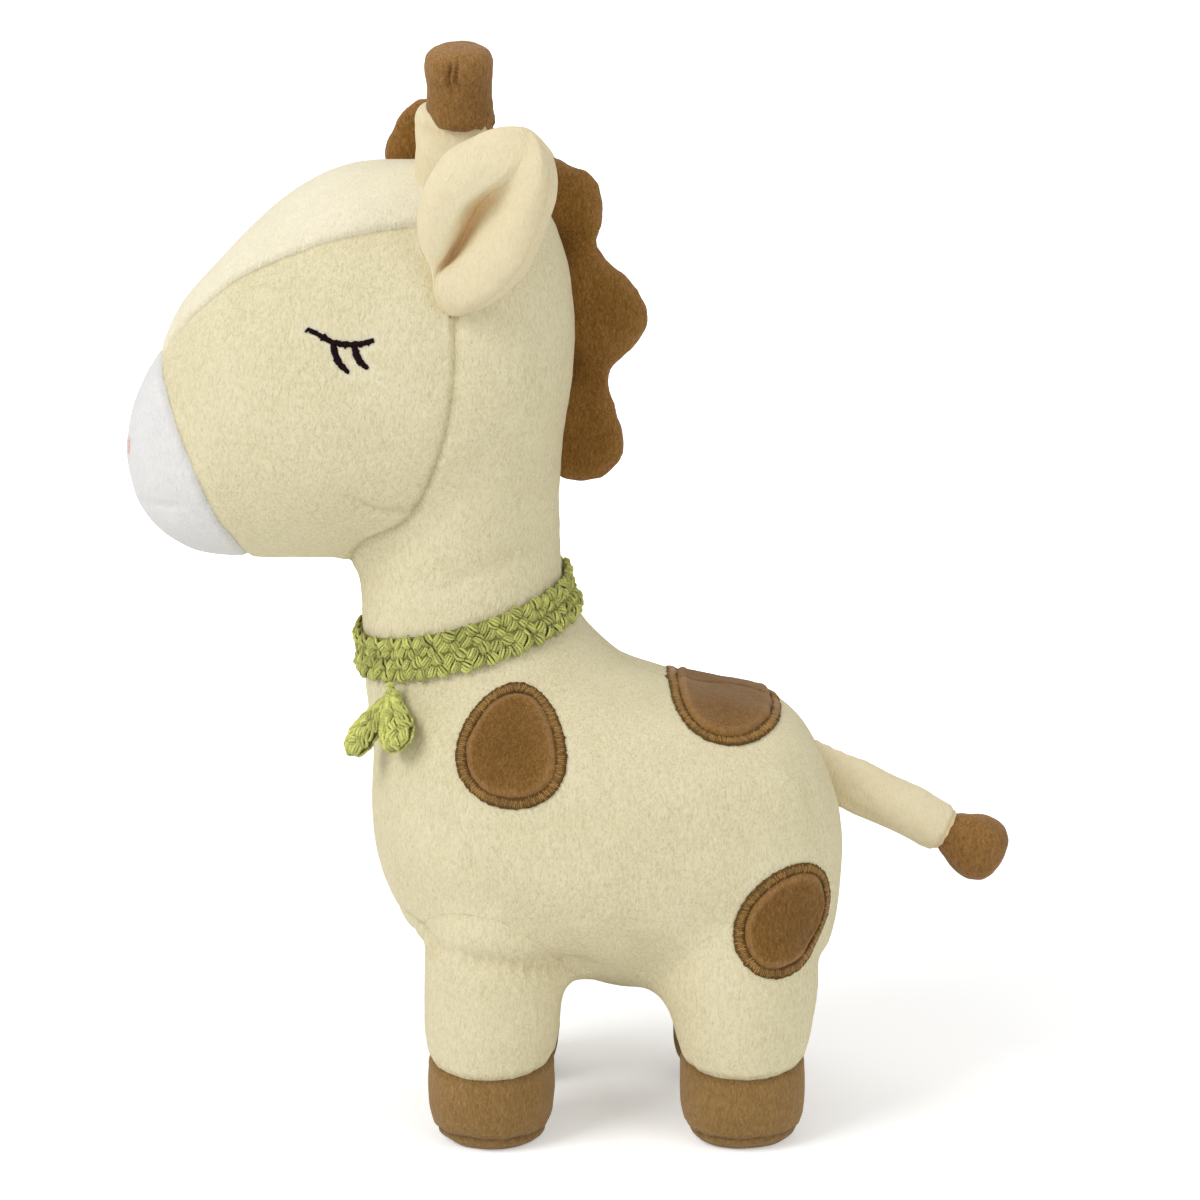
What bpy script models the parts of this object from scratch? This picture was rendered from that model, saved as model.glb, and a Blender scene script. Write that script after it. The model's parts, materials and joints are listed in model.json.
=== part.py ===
"""Plush giraffe, about 29 cm tall, standing on four stuffed legs, with a crocheted collar.

The head points to -X, the tail to +X, and +Z is up. The floor is at zero height and the origin
lies under the middle of the toy. All lengths are in metres.
"""
import math

import bmesh
import bpy
from mathutils import Matrix, Vector

# Cloth, seams and clearances
SEAM_GAP = 0.0003
PLUSH_THICKNESS = 0.0020
STUFFING_EASE = 0.0010
CUT_OVERRUN = 0.0600

# Torso, a stuffed barrel that lies along X
TORSO_FRONT_X = -0.0545
TORSO_LENGTH = 0.1285
TORSO_BASE_Z = 0.0405
TORSO_HEIGHT = 0.0885
TORSO_WIDTH = 0.0960

# Neck with the back of the head, a column that lies along Z
NECK_RISE = 0.0395
NECK_BASE_Z = TORSO_BASE_Z + NECK_RISE
NECK_HEIGHT = 0.1785
NECK_OVERHANG = 0.0025
NECK_FRONT_X = TORSO_FRONT_X - NECK_OVERHANG
NECK_DEPTH = 0.0540
NECK_WIDTH = 0.0540

# Head, which lies along X and reaches forward from the neck
HEAD_LENGTH = 0.1210
HEAD_HEIGHT = 0.1065
HEAD_WIDTH = 0.0820
HEAD_OVERHANG = 0.0050
HEAD_BACK_X = NECK_FRONT_X + NECK_DEPTH + HEAD_OVERHANG
HEAD_FRONT_X = HEAD_BACK_X - HEAD_LENGTH
CROWN_RISE = 0.0005
CROWN_Z = NECK_BASE_Z + NECK_HEIGHT + CROWN_RISE
HEAD_BASE_Z = CROWN_Z - HEAD_HEIGHT

# Legs, hooves and soles
FRONT_LEG_SETBACK = 0.0337
REAR_LEG_SETBACK = 0.0283
FRONT_LEG_X = TORSO_FRONT_X + FRONT_LEG_SETBACK
REAR_LEG_X = TORSO_FRONT_X + TORSO_LENGTH - REAR_LEG_SETBACK
LEG_INSET = 0.0205
LEG_Y = TORSO_WIDTH / 2 - LEG_INSET
LEG_WIDTH = 0.0366
LEG_REACH = 0.0315
LEG_TOP_Z = TORSO_BASE_Z + LEG_REACH
HOOF_TOP_Z = 0.0242
HOOF_DRAW_IN = 0.0032
HOOF_WIDTH = LEG_WIDTH - HOOF_DRAW_IN
SOLE_DRAW_IN = 0.0016
SOLE_WIDTH = HOOF_WIDTH - SOLE_DRAW_IN
SOLE_THICKNESS = 0.0025

# Horns
HORN_SETBACK = 0.0315
HORN_X = HEAD_BACK_X - HORN_SETBACK
HORN_FOOT_Y = 0.0135
HORN_SINK = 0.0170
HORN_FOOT_Z = CROWN_Z - HORN_SINK
HORN_LENGTH = 0.0485
HORN_SPLAY = math.radians(19)
HORN_SHAFT_WIDTH = 0.0205
HORN_CAP_WIDTH = 0.0196
HORN_CAP_LENGTH = 0.0205

# Ears
EAR_SETBACK = 0.0330
EAR_FOOT_X = HEAD_BACK_X - EAR_SETBACK
EAR_SINK = 0.0025
EAR_FOOT_Y = HEAD_WIDTH / 2 - EAR_SINK
EAR_DROP = 0.0390
EAR_FOOT_Z = CROWN_Z - EAR_DROP
EAR_LENGTH = 0.0490
EAR_WIDTH = 0.0430
EAR_CLOTH = 0.0017
EAR_SWING_IN = math.radians(-6)
EAR_SWING_OUT = math.radians(40)

# Mane, a padded strip in the middle plane
MANE_SETBACK = 0.0520
MANE_FRONT_X = HEAD_BACK_X - MANE_SETBACK
MANE_LENGTH = 0.0710
MANE_DROP = 0.0860
MANE_BASE_Z = CROWN_Z - MANE_DROP
MANE_HEIGHT = 0.1025
MANE_THICKNESS = 0.0130
MANE_RIM = 0.0026

# Tail
TAIL_SINK = 0.0020
TAIL_ROOT_X = TORSO_FRONT_X + TORSO_LENGTH - TAIL_SINK
TAIL_RISE = 0.0530
TAIL_ROOT_Z = TORSO_BASE_Z + TAIL_RISE
TAIL_LENGTH = 0.0522
TAIL_DROOP = math.radians(28)
TAIL_DEPTH = 0.0190
TAIL_WIDTH = 0.0135
TAIL_SWING = math.radians(35)

# Crocheted collar with two leaves
COLLAR_RISE = 0.0490
COLLAR_FRONT_Z = NECK_BASE_Z + COLLAR_RISE
COLLAR_SLOPE_RISE = 0.0160
COLLAR_BACK_Z = COLLAR_FRONT_Z + COLLAR_SLOPE_RISE
COLLAR_SIDE_DROP = 0.0050
COLLAR_HEIGHT = 0.0108
COLLAR_THICKNESS = 0.0030
KNOT_RADIUS = 0.0028
KNOT_ANGLE = math.radians(226)
LEAF_LENGTH = 0.0190
LEAF_WIDTH = 0.0098
LEAF_THICKNESS = 0.0046
LEAF_LEAN = math.radians(27)

# Brown patches and embroidery
PATCH_THICKNESS = 0.0013
THREAD_THICKNESS = 0.0007
THREAD_WIDTH = 0.0014
SHOULDER_PATCH_SETBACK = 0.0395
SHOULDER_PATCH_X = TORSO_FRONT_X + SHOULDER_PATCH_SETBACK
SHOULDER_PATCH_RISE = 0.0683
SHOULDER_PATCH_Z = TORSO_BASE_Z + SHOULDER_PATCH_RISE
SHOULDER_PATCH_HEIGHT = 0.0328
SHOULDER_PATCH_WIDTH = 0.0286
SHOULDER_PATCH_TILT = math.radians(8)
THIGH_PATCH_SETBACK = 0.0103
THIGH_PATCH_X = REAR_LEG_X + THIGH_PATCH_SETBACK
THIGH_PATCH_RISE = 0.0223
THIGH_PATCH_Z = TORSO_BASE_Z + THIGH_PATCH_RISE
THIGH_PATCH_HEIGHT = 0.0318
THIGH_PATCH_WIDTH = 0.0244
THIGH_PATCH_TILT = math.radians(32)
BACK_PATCH_SETBACK = 0.0325
BACK_PATCH_X = TORSO_FRONT_X + TORSO_LENGTH - BACK_PATCH_SETBACK
BACK_PATCH_RISE = 0.0795
BACK_PATCH_Z = TORSO_BASE_Z + BACK_PATCH_RISE
BACK_PATCH_LENGTH = 0.0320
BACK_PATCH_DEPTH = 0.0275
SHIN_PATCH_REACH = 0.0258
SHIN_PATCH_RISE = 0.0113
SHIN_PATCH_Z = HOOF_TOP_Z + SHIN_PATCH_RISE
SHIN_PATCH_WIDTH = 0.0140
EYE_SETBACK = 0.0610
EYE_X = HEAD_FRONT_X + EYE_SETBACK
EYE_RISE = 0.0585
EYE_Z = HEAD_BASE_Z + EYE_RISE
EYE_LENGTH = 0.0172
LASH_LENGTH = 0.0088
LASH_THREAD_WIDTH = 0.0013
NOSTRIL_Y = 0.0095
NOSTRIL_RISE = 0.0310
NOSTRIL_Z = HEAD_BASE_Z + NOSTRIL_RISE
NOSTRIL_WIDTH = 0.0060
NOSTRIL_HEIGHT = 0.0050

# Belly panel, a strip between the legs
BELLY_PANEL_WIDTH = 0.0300
BELLY_PANEL_RISE = 0.0155
BELLY_PANEL_TOP_Z = TORSO_BASE_Z + BELLY_PANEL_RISE
BELLY_PANEL_FRONT_SHARE = 0.10
BELLY_PANEL_BACK_SHARE = 0.93

# How full a section is: 2 is an ellipse, more is squarer
TORSO_FULLNESS = 2.5
HEAD_FULLNESS = 2.2

# Facets
BODY_SEGMENTS = 22
STUFFING_SEGMENTS = 14
LIMB_SEGMENTS = 14
SMALL_SEGMENTS = 12
EAR_SEGMENTS = 8
COLLAR_SEGMENTS = 36
PATCH_SEGMENTS = 28
NOSTRIL_SEGMENTS = 16
SWING_STEPS = 6

# Rows of a form: place along it, lower edge, upper edge and width, as shares of its sizes
TORSO_ROW_SHARES = [
    (0.000, 0.550, 0.550, 0.00),
    (0.028, 0.290, 0.840, 0.42),
    (0.085, 0.120, 0.950, 0.70),
    (0.200, 0.040, 0.985, 0.90),
    (0.350, 0.010, 0.985, 0.99),
    (0.500, 0.000, 0.970, 1.00),
    (0.650, 0.000, 0.925, 0.98),
    (0.800, 0.005, 0.870, 0.92),
    (0.900, 0.020, 0.785, 0.80),
    (0.960, 0.065, 0.650, 0.60),
    (0.990, 0.165, 0.500, 0.32),
    (1.000, 0.330, 0.330, 0.00),
]
NECK_ROW_SHARES = [
    (0.000, 0.650, 0.650, 0.00),
    (0.045, 0.130, 1.360, 1.11),
    (0.134, 0.037, 1.470, 1.29),
    (0.202, 0.015, 1.490, 1.26),
    (0.241, 0.010, 1.410, 1.18),
    (0.280, 0.005, 1.230, 1.09),
    (0.319, 0.000, 1.110, 1.02),
    (0.370, 0.000, 1.020, 1.00),
    (0.448, 0.055, 0.990, 1.04),
    (0.538, 0.170, 1.010, 1.15),
    (0.644, 0.200, 1.056, 1.28),
    (0.767, 0.200, 1.090, 1.35),
    (0.885, 0.240, 0.990, 1.22),
    (0.963, 0.310, 0.815, 0.81),
    (1.000, 0.540, 0.540, 0.00),
]
HEAD_ROW_SHARES = [
    (0.000, 0.268, 0.268, 0.00),
    (0.014, 0.174, 0.366, 0.27),
    (0.045, 0.103, 0.460, 0.44),
    (0.107, 0.038, 0.570, 0.60),
    (0.186, 0.005, 0.704, 0.73),
    (0.281, 0.000, 0.831, 0.84),
    (0.384, 0.000, 0.934, 0.93),
    (0.496, 0.000, 0.990, 0.98),
    (0.628, 0.010, 1.000, 1.00),
    (0.777, 0.070, 0.992, 0.96),
    (0.901, 0.183, 0.925, 0.80),
    (0.975, 0.350, 0.775, 0.44),
    (1.000, 0.577, 0.577, 0.00),
]

# Height and width of a limb's rings, as shares of its height and width
LEG_RING_SHARES = [
    (0.00, 0.93), (0.10, 0.98), (0.30, 1.00), (0.55, 1.00), (0.75, 0.93), (0.90, 0.72), (1.00, 0.00),
]
HOOF_RING_SHARES = [(0.00, 0.95), (0.15, 1.00), (0.45, 1.03), (0.80, 1.00), (1.00, 0.96)]
SOLE_RING_SHARES = [(0.00, 0.88), (0.35, 0.96), (1.00, 1.00)]
HORN_SHAFT_RING_SHARES = [(0.00, 1.18), (0.25, 1.10), (0.60, 1.00), (1.00, 0.94)]
HORN_CAP_RING_SHARES = [
    (0.00, 0.93), (0.10, 1.00), (0.40, 0.98), (0.65, 0.88), (0.85, 0.62), (0.96, 0.32), (1.00, 0.00),
]

# Directions of an ear on the side where Y is positive: along it, and out of its open side
EAR_ALONG_SHARES = (0.40, 0.20, 0.90)
EAR_OUT_SHARES = (-0.30, 0.95, 0.0)
# The line that the left ear turns on; the right ear's runs the other way
EAR_HINGE_SHARES = (0.31, 0.0, -0.95)

# Place along the ear, half width of the cloth and curl in radians
EAR_RING_SHARES = [
    (0.00, 0.24, 0.90), (0.12, 0.50, 1.10), (0.28, 0.80, 1.20), (0.48, 0.98, 1.20),
    (0.66, 1.00, 1.10), (0.82, 0.84, 0.95), (0.93, 0.56, 0.80), (1.00, 0.28, 0.60),
]

# Place along the tail, depth and width
TAIL_SLEEVE_SHARES = [
    (0.000, 1.00, 0.16), (0.060, 0.97, 0.52), (0.180, 0.87, 0.85), (0.400, 0.73, 1.00), (0.650, 0.68, 0.98),
]
TAIL_TUFT_SHARES = [
    (0.660, 0.68, 0.98), (0.740, 0.88, 1.20), (0.860, 0.98, 1.30), (0.955, 0.70, 0.94), (1.000, 0.00, 0.00),
]
TAIL_HOLLOW_SHARES = [
    (0.100, 0.00, 0.00), (0.200, 0.55, 0.48), (0.400, 0.51, 0.68), (0.600, 0.47, 0.66), (0.700, 0.47, 0.66),
]
TAIL_STUFFING_SHARES = [
    (0.130, 0.00, 0.00), (0.200, 0.50, 0.40), (0.400, 0.46, 0.60), (0.600, 0.42, 0.58), (0.640, 0.00, 0.00),
]

# Outline of the mane in the side view, from the forelock round to the nape and back inside the head
MANE_OUTLINE_SHARES = [
    (0.003, 0.830), (0.020, 0.890), (0.070, 0.950), (0.150, 0.990), (0.235, 1.000), (0.330, 0.975),
    (0.430, 0.915), (0.480, 0.885), (0.560, 0.868), (0.680, 0.835), (0.765, 0.812), (0.815, 0.775),
    (0.830, 0.715), (0.815, 0.610), (0.860, 0.572), (0.940, 0.520), (0.995, 0.450), (0.980, 0.385),
    (0.925, 0.335), (0.870, 0.285), (0.865, 0.225), (0.905, 0.155), (0.915, 0.090), (0.860, 0.030),
    (0.780, 0.000), (0.700, 0.000), (0.620, 0.040), (0.560, 0.120), (0.550, 0.300), (0.540, 0.500),
    (0.480, 0.640), (0.380, 0.730), (0.220, 0.775), (0.080, 0.790),
]

# Layers of the mane across its thickness, and how much of its rim is drawn in there
MANE_LAYER_SHARES = [(-1.0, 1.0), (-0.8, 0.3), (-0.4, 0.0), (0.4, 0.0), (0.8, 0.3), (1.0, 1.0)]

# Seam lines in the side view, as shares of the head's length and height from its front and base
CHEEK_SEAM_SHARES = [
    (0.835, 1.120), (0.800, 0.950), (0.758, 0.780), (0.746, 0.610), (0.742, 0.450), (0.708, 0.277),
    (0.640, 0.122), (0.520, 0.034), (0.440, -0.120),
]
FOREHEAD_SEAM_SHARES = [
    (0.060, 0.600), (0.125, 0.560), (0.215, 0.668), (0.315, 0.732), (0.480, 0.800), (0.640, 0.835),
    (0.900, 0.860),
]
MUZZLE_SEAM_SHARES = [
    (0.070, 0.640), (0.085, 0.520), (0.128, 0.375), (0.172, 0.250), (0.222, 0.110), (0.262, 0.030),
    (0.280, -0.100),
]

# Section of the collar: rise and distance out from the cloth
COLLAR_SECTION_SHARES = [
    (-0.86, 0.0), (0.0, 0.0), (0.86, 0.0), (1.0, 0.5), (0.80, 1.0), (0.0, 1.0), (-0.80, 1.0), (-1.0, 0.5),
]

# Leaf of the bow: place along it, width and thickness
LEAF_RING_SHARES = [
    (0.00, 0.00, 0.00), (0.03, 0.18, 0.34), (0.20, 0.46, 0.74), (0.50, 0.86, 1.00), (0.74, 1.00, 1.00),
    (0.92, 0.70, 0.78), (1.00, 0.00, 0.00),
]
# Sideways angle of each leaf from straight down, in radians
LEAF_SPREADS = {"front": 0.36, "rear": -0.50}

# Closed eye: place along the lid and rise, as shares of the eye's length
LID_SHARES = [(-0.50, 0.15), (-0.30, 0.10), (-0.10, 0.00), (0.15, -0.03), (0.35, 0.00), (0.50, 0.06)]
LASH_ROOT_SHARES = [-0.09, 0.22]
LASH_SHARES = [(0.00, 0.00), (0.06, -0.34), (0.22, -0.70), (0.52, -1.00)]

# Egg shape of a patch: how much narrower its top is
PATCH_TAPER_SHARE = 0.16

# Colours
CREAM = (0.80, 0.74, 0.53)
PALE_CREAM = (0.88, 0.84, 0.68)
WHITE = (0.90, 0.89, 0.86)
BROWN = (0.25, 0.12, 0.04)
HOOF_BROWN = (0.34, 0.21, 0.10)
GREEN = (0.39, 0.48, 0.15)
DARK_THREAD = (0.03, 0.01, 0.02)
PEACH = (0.80, 0.45, 0.33)
STUFFING_WHITE = (0.92, 0.92, 0.90)


def material(name, colour, roughness):
    """Return the cloth material of that name, made once."""
    if name in bpy.data.materials:
        return bpy.data.materials[name]
    made = bpy.data.materials.new(name)
    made.use_nodes = True
    shader = made.node_tree.nodes["Principled BSDF"]
    shader.inputs["Base Color"].default_value = (*colour, 1.0)
    shader.inputs["Roughness"].default_value = roughness
    shader.inputs["Metallic"].default_value = 0.0
    return made


def finish(obj, name, colour, roughness=0.95):
    """Name a piece, give it its own material and shade it smooth."""
    obj.name = name
    obj.data.name = name
    obj.data.materials.clear()
    obj.data.materials.append(material(name + "_cloth", colour, roughness))
    obj.data.shade_smooth()
    obj.data.set_sharp_from_angle(angle=math.radians(50))
    return obj


def object_from_bmesh(name, bm):
    """Turn a bmesh into an object with its faces pointing out."""
    bmesh.ops.recalc_face_normals(bm, faces=bm.faces)
    mesh = bpy.data.meshes.new(name)
    bm.to_mesh(mesh)
    bm.free()
    obj = bpy.data.objects.new(name, mesh)
    bpy.context.scene.collection.objects.link(obj)
    return obj


def discard(*objects):
    """Remove helper solids that are no longer needed."""
    for obj in objects:
        bpy.data.objects.remove(obj, do_unlink=True)


def duplicate(obj):
    """Copy a helper solid with its own mesh."""
    copy = obj.copy()
    copy.data = obj.data.copy()
    bpy.context.scene.collection.objects.link(copy)
    return copy


def combine(target, other, operation):
    """Apply an exact Boolean of two closed solids to the first one."""
    modifier = target.modifiers.new(operation.title(), "BOOLEAN")
    modifier.operation = operation
    modifier.solver = "EXACT"
    modifier.object = other
    evaluated = target.evaluated_get(bpy.context.evaluated_depsgraph_get())
    result = bpy.data.meshes.new_from_object(evaluated)
    target.modifiers.clear()
    target.data = result
    return target


def subtract(target, other):
    return combine(target, other, "DIFFERENCE")


def intersect(target, other):
    return combine(target, other, "INTERSECT")


def unite(target, *others):
    """Join closed solids into the first one and discard the rest."""
    for other in others:
        combine(target, other, "UNION")
        discard(other)
    return target


def loft(name, rings, open_ends=False):
    """Skin a list of rings, where a ring of one point is a pole."""
    bm = bmesh.new()
    layers = [[bm.verts.new(point) for point in ring] for ring in rings]
    for lower, upper in zip(layers, layers[1:]):
        bridge(bm, lower, upper)
    if not open_ends:
        for end in (layers[0], layers[-1]):
            if len(end) > 1:
                bm.faces.new(end)
    return object_from_bmesh(name, bm)


def bridge(bm, lower, upper):
    """Join two rings of the same count, or a ring and a pole."""
    count = max(len(lower), len(upper))
    for i in range(count):
        j = (i + 1) % count
        if len(lower) == 1:
            bm.faces.new((lower[0], upper[j], upper[i]))
        elif len(upper) == 1:
            bm.faces.new((lower[i], lower[j], upper[0]))
        else:
            bm.faces.new((lower[i], lower[j], upper[j], upper[i]))


def rounded(value, fullness):
    """Share of a half size at a direction's sine or cosine, fuller than an ellipse above 2."""
    return math.copysign(abs(value) ** (2 / fullness), value)


def ellipse(centre, side, up, half_side, half_up, segments, fullness=2.0):
    """Return the points of a round or fuller section, or one point where it has no size."""
    if half_side <= 0 or half_up <= 0:
        return [Vector(centre)]
    points = []
    for i in range(segments):
        angle = 2 * math.pi * (i + 0.5) / segments
        across = half_side * rounded(math.cos(angle), fullness)
        rise = half_up * rounded(math.sin(angle), fullness)
        points.append(Vector(centre) + side * across + up * rise)
    return points


def spline(before, start, end, after, t):
    """Catmull-Rom value between start and end."""
    bend = 2 * before - 5 * start + 4 * end - after
    twist = 3 * start - before - 3 * end + after
    return 0.5 * (2 * start + (end - before) * t + bend * t * t + twist * t ** 3)


def smooth_rows(rows, steps):
    """Add rows between the given ones, rounded off at the two poles.

    A row is (place, low, high, width). Half sizes are squared before they are smoothed, because
    the square of a round end's size falls evenly towards its pole.
    """
    table = [(place, (low + high) / 2, ((high - low) / 2) ** 2, (width / 2) ** 2)
             for place, low, high, width in rows]
    smoothed = []
    last = len(table) - 1
    for i in range(last):
        for step in range(steps):
            t = step / steps
            if i == 0:
                t = t * t
            if i == last - 1:
                t = 1 - (1 - t) ** 2
            around = [table[max(i - 1, 0)], table[i], table[i + 1], table[min(i + 2, last)]]
            smoothed.append([spline(*column, t) for column in zip(*around)])
    smoothed.append(table[-1])
    return [(place, centre, math.sqrt(max(depth, 0)), math.sqrt(max(width, 0)))
            for place, centre, depth, width in smoothed]


def grown(rows, start, length, grow):
    """Scale row places about the middle so that both ends move out by the growth."""
    middle = start + length / 2
    factor = (length + 2 * grow) / length
    return [(middle + (place - middle) * factor, centre, depth, width)
            for place, centre, depth, width in rows]


def sized_rows(shares, start, length, base, depth, width):
    """Turn a table of shares into rows of real sizes."""
    return [(start + along * length, base + low * depth, base + high * depth, wide * width)
            for along, low, high, wide in shares]


def lying_form(name, rows, start, length, grow, segments, fullness):
    """Loft a form along X from rows of height and width."""
    rings = []
    for x, z, half_height, half_width in grown(rows, start, length, grow):
        pole = half_height <= 0 or half_width <= 0
        extra = 0 if pole else grow
        rings.append(ellipse((x, 0, z), Vector((0, 1, 0)), Vector((0, 0, 1)),
                             half_width + extra, half_height + extra, segments, fullness))
    return loft(name, rings)


def torso_form(grow=0.0, segments=BODY_SEGMENTS, steps=2):
    rows = sized_rows(TORSO_ROW_SHARES, TORSO_FRONT_X, TORSO_LENGTH, TORSO_BASE_Z, TORSO_HEIGHT, TORSO_WIDTH)
    rows = smooth_rows(rows, steps)
    return lying_form("torso form", rows, TORSO_FRONT_X, TORSO_LENGTH, grow, segments, TORSO_FULLNESS)


def head_form(grow=0.0, segments=BODY_SEGMENTS, steps=2):
    rows = sized_rows(HEAD_ROW_SHARES, HEAD_FRONT_X, HEAD_LENGTH, HEAD_BASE_Z, HEAD_HEIGHT, HEAD_WIDTH)
    rows = smooth_rows(rows, steps)
    return lying_form("head form", rows, HEAD_FRONT_X, HEAD_LENGTH, grow, segments, HEAD_FULLNESS)


def neck_rows():
    rows = sized_rows(NECK_ROW_SHARES, NECK_BASE_Z, NECK_HEIGHT, NECK_FRONT_X, NECK_DEPTH, NECK_WIDTH)
    return smooth_rows(rows, 1)


def neck_form(grow=0.0, segments=BODY_SEGMENTS):
    rings = []
    for z, x, half_depth, half_width in grown(neck_rows(), NECK_BASE_Z, NECK_HEIGHT, grow):
        pole = half_depth <= 0 or half_width <= 0
        extra = 0 if pole else grow
        rings.append(ellipse((x, 0, z), Vector((1, 0, 0)), Vector((0, 1, 0)),
                             half_depth + extra, half_width + extra, segments))
    return loft("neck form", rings)


def body_form(grow=0.0, segments=BODY_SEGMENTS, steps=2):
    """Torso, neck and head as one solid, moved out by the growth."""
    torso = torso_form(grow, segments, steps)
    return unite(torso, neck_form(grow, segments), head_form(grow, segments, steps))


def standing_rings(shares, x, y, base, height, width, grow=0.0):
    """Rings of a limb that stands at a place, in the order of its height."""
    rings = []
    for rise, size in shares:
        half = size * width / 2
        half = half + grow if half > 0 else 0
        rings.append(ellipse((x, y, base + rise * height), Vector((1, 0, 0)), Vector((0, 1, 0)),
                             half, half, LIMB_SEGMENTS))
    return rings


def tube(name, outer, inner):
    """A cloth tube with open ends, between an outer and an inner list of rings."""
    bm = bmesh.new()
    walls = [[[bm.verts.new(point) for point in ring] for ring in rings] for rings in (outer, inner)]
    for wall in walls:
        for lower, upper in zip(wall, wall[1:]):
            bridge(bm, lower, upper)
    for end in (0, -1):
        bridge(bm, walls[0][end], walls[1][end])
    return object_from_bmesh(name, bm)


def prism(name, outline, low, high, to_point):
    """Extrude an outline between two depths; to_point places its two sizes and the depth."""
    bm = bmesh.new()
    layers = [[bm.verts.new(to_point(a, b, depth)) for a, b in outline] for depth in (low, high)]
    bridge(bm, *layers)
    for layer in layers:
        bm.faces.new(layer)
    return object_from_bmesh(name, bm)


def side_point(x, z, depth):
    return Vector((x, depth, z))


def front_point(y, z, depth):
    return Vector((depth, y, z))


def side_prism(name, outline, side):
    """Extrude a side view outline through one half of the toy, or through both where side is 0."""
    low, high = {-1: (-1.0, 0.0), 1: (0.0, 1.0), 0: (-1.0, 1.0)}[side]
    reach = HEAD_LENGTH + CUT_OVERRUN
    return prism(name, outline, low * reach, high * reach, side_point)


def slab(name, low, high):
    """A box between two corners."""
    bm = bmesh.new()
    bmesh.ops.create_cube(bm, size=1.0)
    size = Vector(high) - Vector(low)
    bmesh.ops.scale(bm, vec=size, verts=bm.verts)
    bmesh.ops.translate(bm, vec=(Vector(high) + Vector(low)) / 2, verts=bm.verts)
    return object_from_bmesh(name, bm)


def head_point(along, rise):
    return HEAD_FRONT_X + along * HEAD_LENGTH, HEAD_BASE_Z + rise * HEAD_HEIGHT


def seam_line(shares, shift_x=0.0, shift_z=0.0):
    line = [head_point(along, rise) for along, rise in shares]
    return [(x + shift_x, z + shift_z) for x, z in line]


def face_zone():
    """What lies in front of the cheek seam."""
    front = HEAD_FRONT_X - CUT_OVERRUN
    top = HEAD_BASE_Z + HEAD_HEIGHT + CUT_OVERRUN
    seam = seam_line(CHEEK_SEAM_SHARES)
    return side_prism("face zone", [(front, top), (seam[0][0], top), *seam, (front, seam[-1][1])], 0)


def nape_zone():
    """What lies behind the cheek seam."""
    back = NECK_FRONT_X + NECK_DEPTH + CUT_OVERRUN
    top = HEAD_BASE_Z + HEAD_HEIGHT + CUT_OVERRUN
    seam = seam_line(CHEEK_SEAM_SHARES, shift_x=SEAM_GAP, shift_z=-SEAM_GAP)
    bottom = COLLAR_FRONT_Z - CUT_OVERRUN / 2
    front = NECK_FRONT_X - CUT_OVERRUN
    chin = seam[-1][1]
    return side_prism("nape zone", [(back, top), (seam[0][0], top), *seam, (front, chin), (front, bottom),
                                    (back, bottom)], 0)


def forehead_zone(shift=0.0):
    """What lies above the two seams of the forehead strip."""
    top = HEAD_BASE_Z + HEAD_HEIGHT + CUT_OVERRUN
    seam = seam_line(FOREHEAD_SEAM_SHARES, shift_z=shift)
    return side_prism("forehead zone", [(seam[0][0], top), *seam, (seam[-1][0], top)], 0)


def muzzle_zone(shift=0.0):
    """What lies in front of the muzzle seam."""
    front = HEAD_FRONT_X - CUT_OVERRUN
    seam = seam_line(MUZZLE_SEAM_SHARES, shift_x=shift)
    return side_prism("muzzle zone", [(front, seam[0][1]), *seam, (front, seam[-1][1])], 0)


def collar_height(x, y):
    """Height of the collar's middle line at a place round the neck."""
    along = (x - NECK_FRONT_X) / NECK_DEPTH
    lean = y / (NECK_WIDTH / 2)
    return COLLAR_FRONT_Z + along * (COLLAR_BACK_Z - COLLAR_FRONT_Z) + lean * COLLAR_SIDE_DROP


def collar_block(name, above, gap):
    """A block that ends at the collar's plane, above or below it."""
    reach = HEAD_LENGTH + CUT_OVERRUN
    far = 2 * reach if above else -2 * reach
    bm = bmesh.new()
    layers = [[], []]
    for x, y in ((-reach, -reach), (reach, -reach), (reach, reach), (-reach, reach)):
        layers[0].append(bm.verts.new((x, y, collar_height(x, y) + gap)))
        layers[1].append(bm.verts.new((x, y, far)))
    bridge(bm, *layers)
    for layer in layers:
        bm.faces.new(layer)
    return object_from_bmesh(name, bm)


def half_block(name, side):
    """One side of the middle plane, half a seam gap away from it."""
    reach = HEAD_LENGTH + CUT_OVERRUN
    edge = side * SEAM_GAP / 2
    low = (-reach, min(edge, side * reach), -CUT_OVERRUN)
    high = (reach, max(edge, side * reach), HEAD_BASE_Z + HEAD_HEIGHT + CUT_OVERRUN)
    return slab(name, low, high)


def belly_block(name, ease):
    """The strip of the belly between the legs."""
    half = BELLY_PANEL_WIDTH / 2 + ease
    front = TORSO_FRONT_X + TORSO_LENGTH * BELLY_PANEL_FRONT_SHARE - ease
    back = TORSO_FRONT_X + TORSO_LENGTH * BELLY_PANEL_BACK_SHARE + ease
    return slab(name, (front, -half, -CUT_OVERRUN), (back, half, BELLY_PANEL_TOP_Z + ease))


def cloth_shell():
    """The stuffed toy's whole skin, one cloth thick and hollow inside."""
    inside = body_form(-PLUSH_THICKNESS)
    shell = subtract(body_form(), inside)
    discard(inside)
    return shell


def piece_of(source, zones, kept=(), removed=()):
    """Copy a solid, keep what lies inside all kept zones and take the removed ones away."""
    piece = duplicate(source)
    for zone in kept:
        intersect(piece, zones[zone])
    for zone in removed:
        subtract(piece, zones[zone])
    return piece


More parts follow.
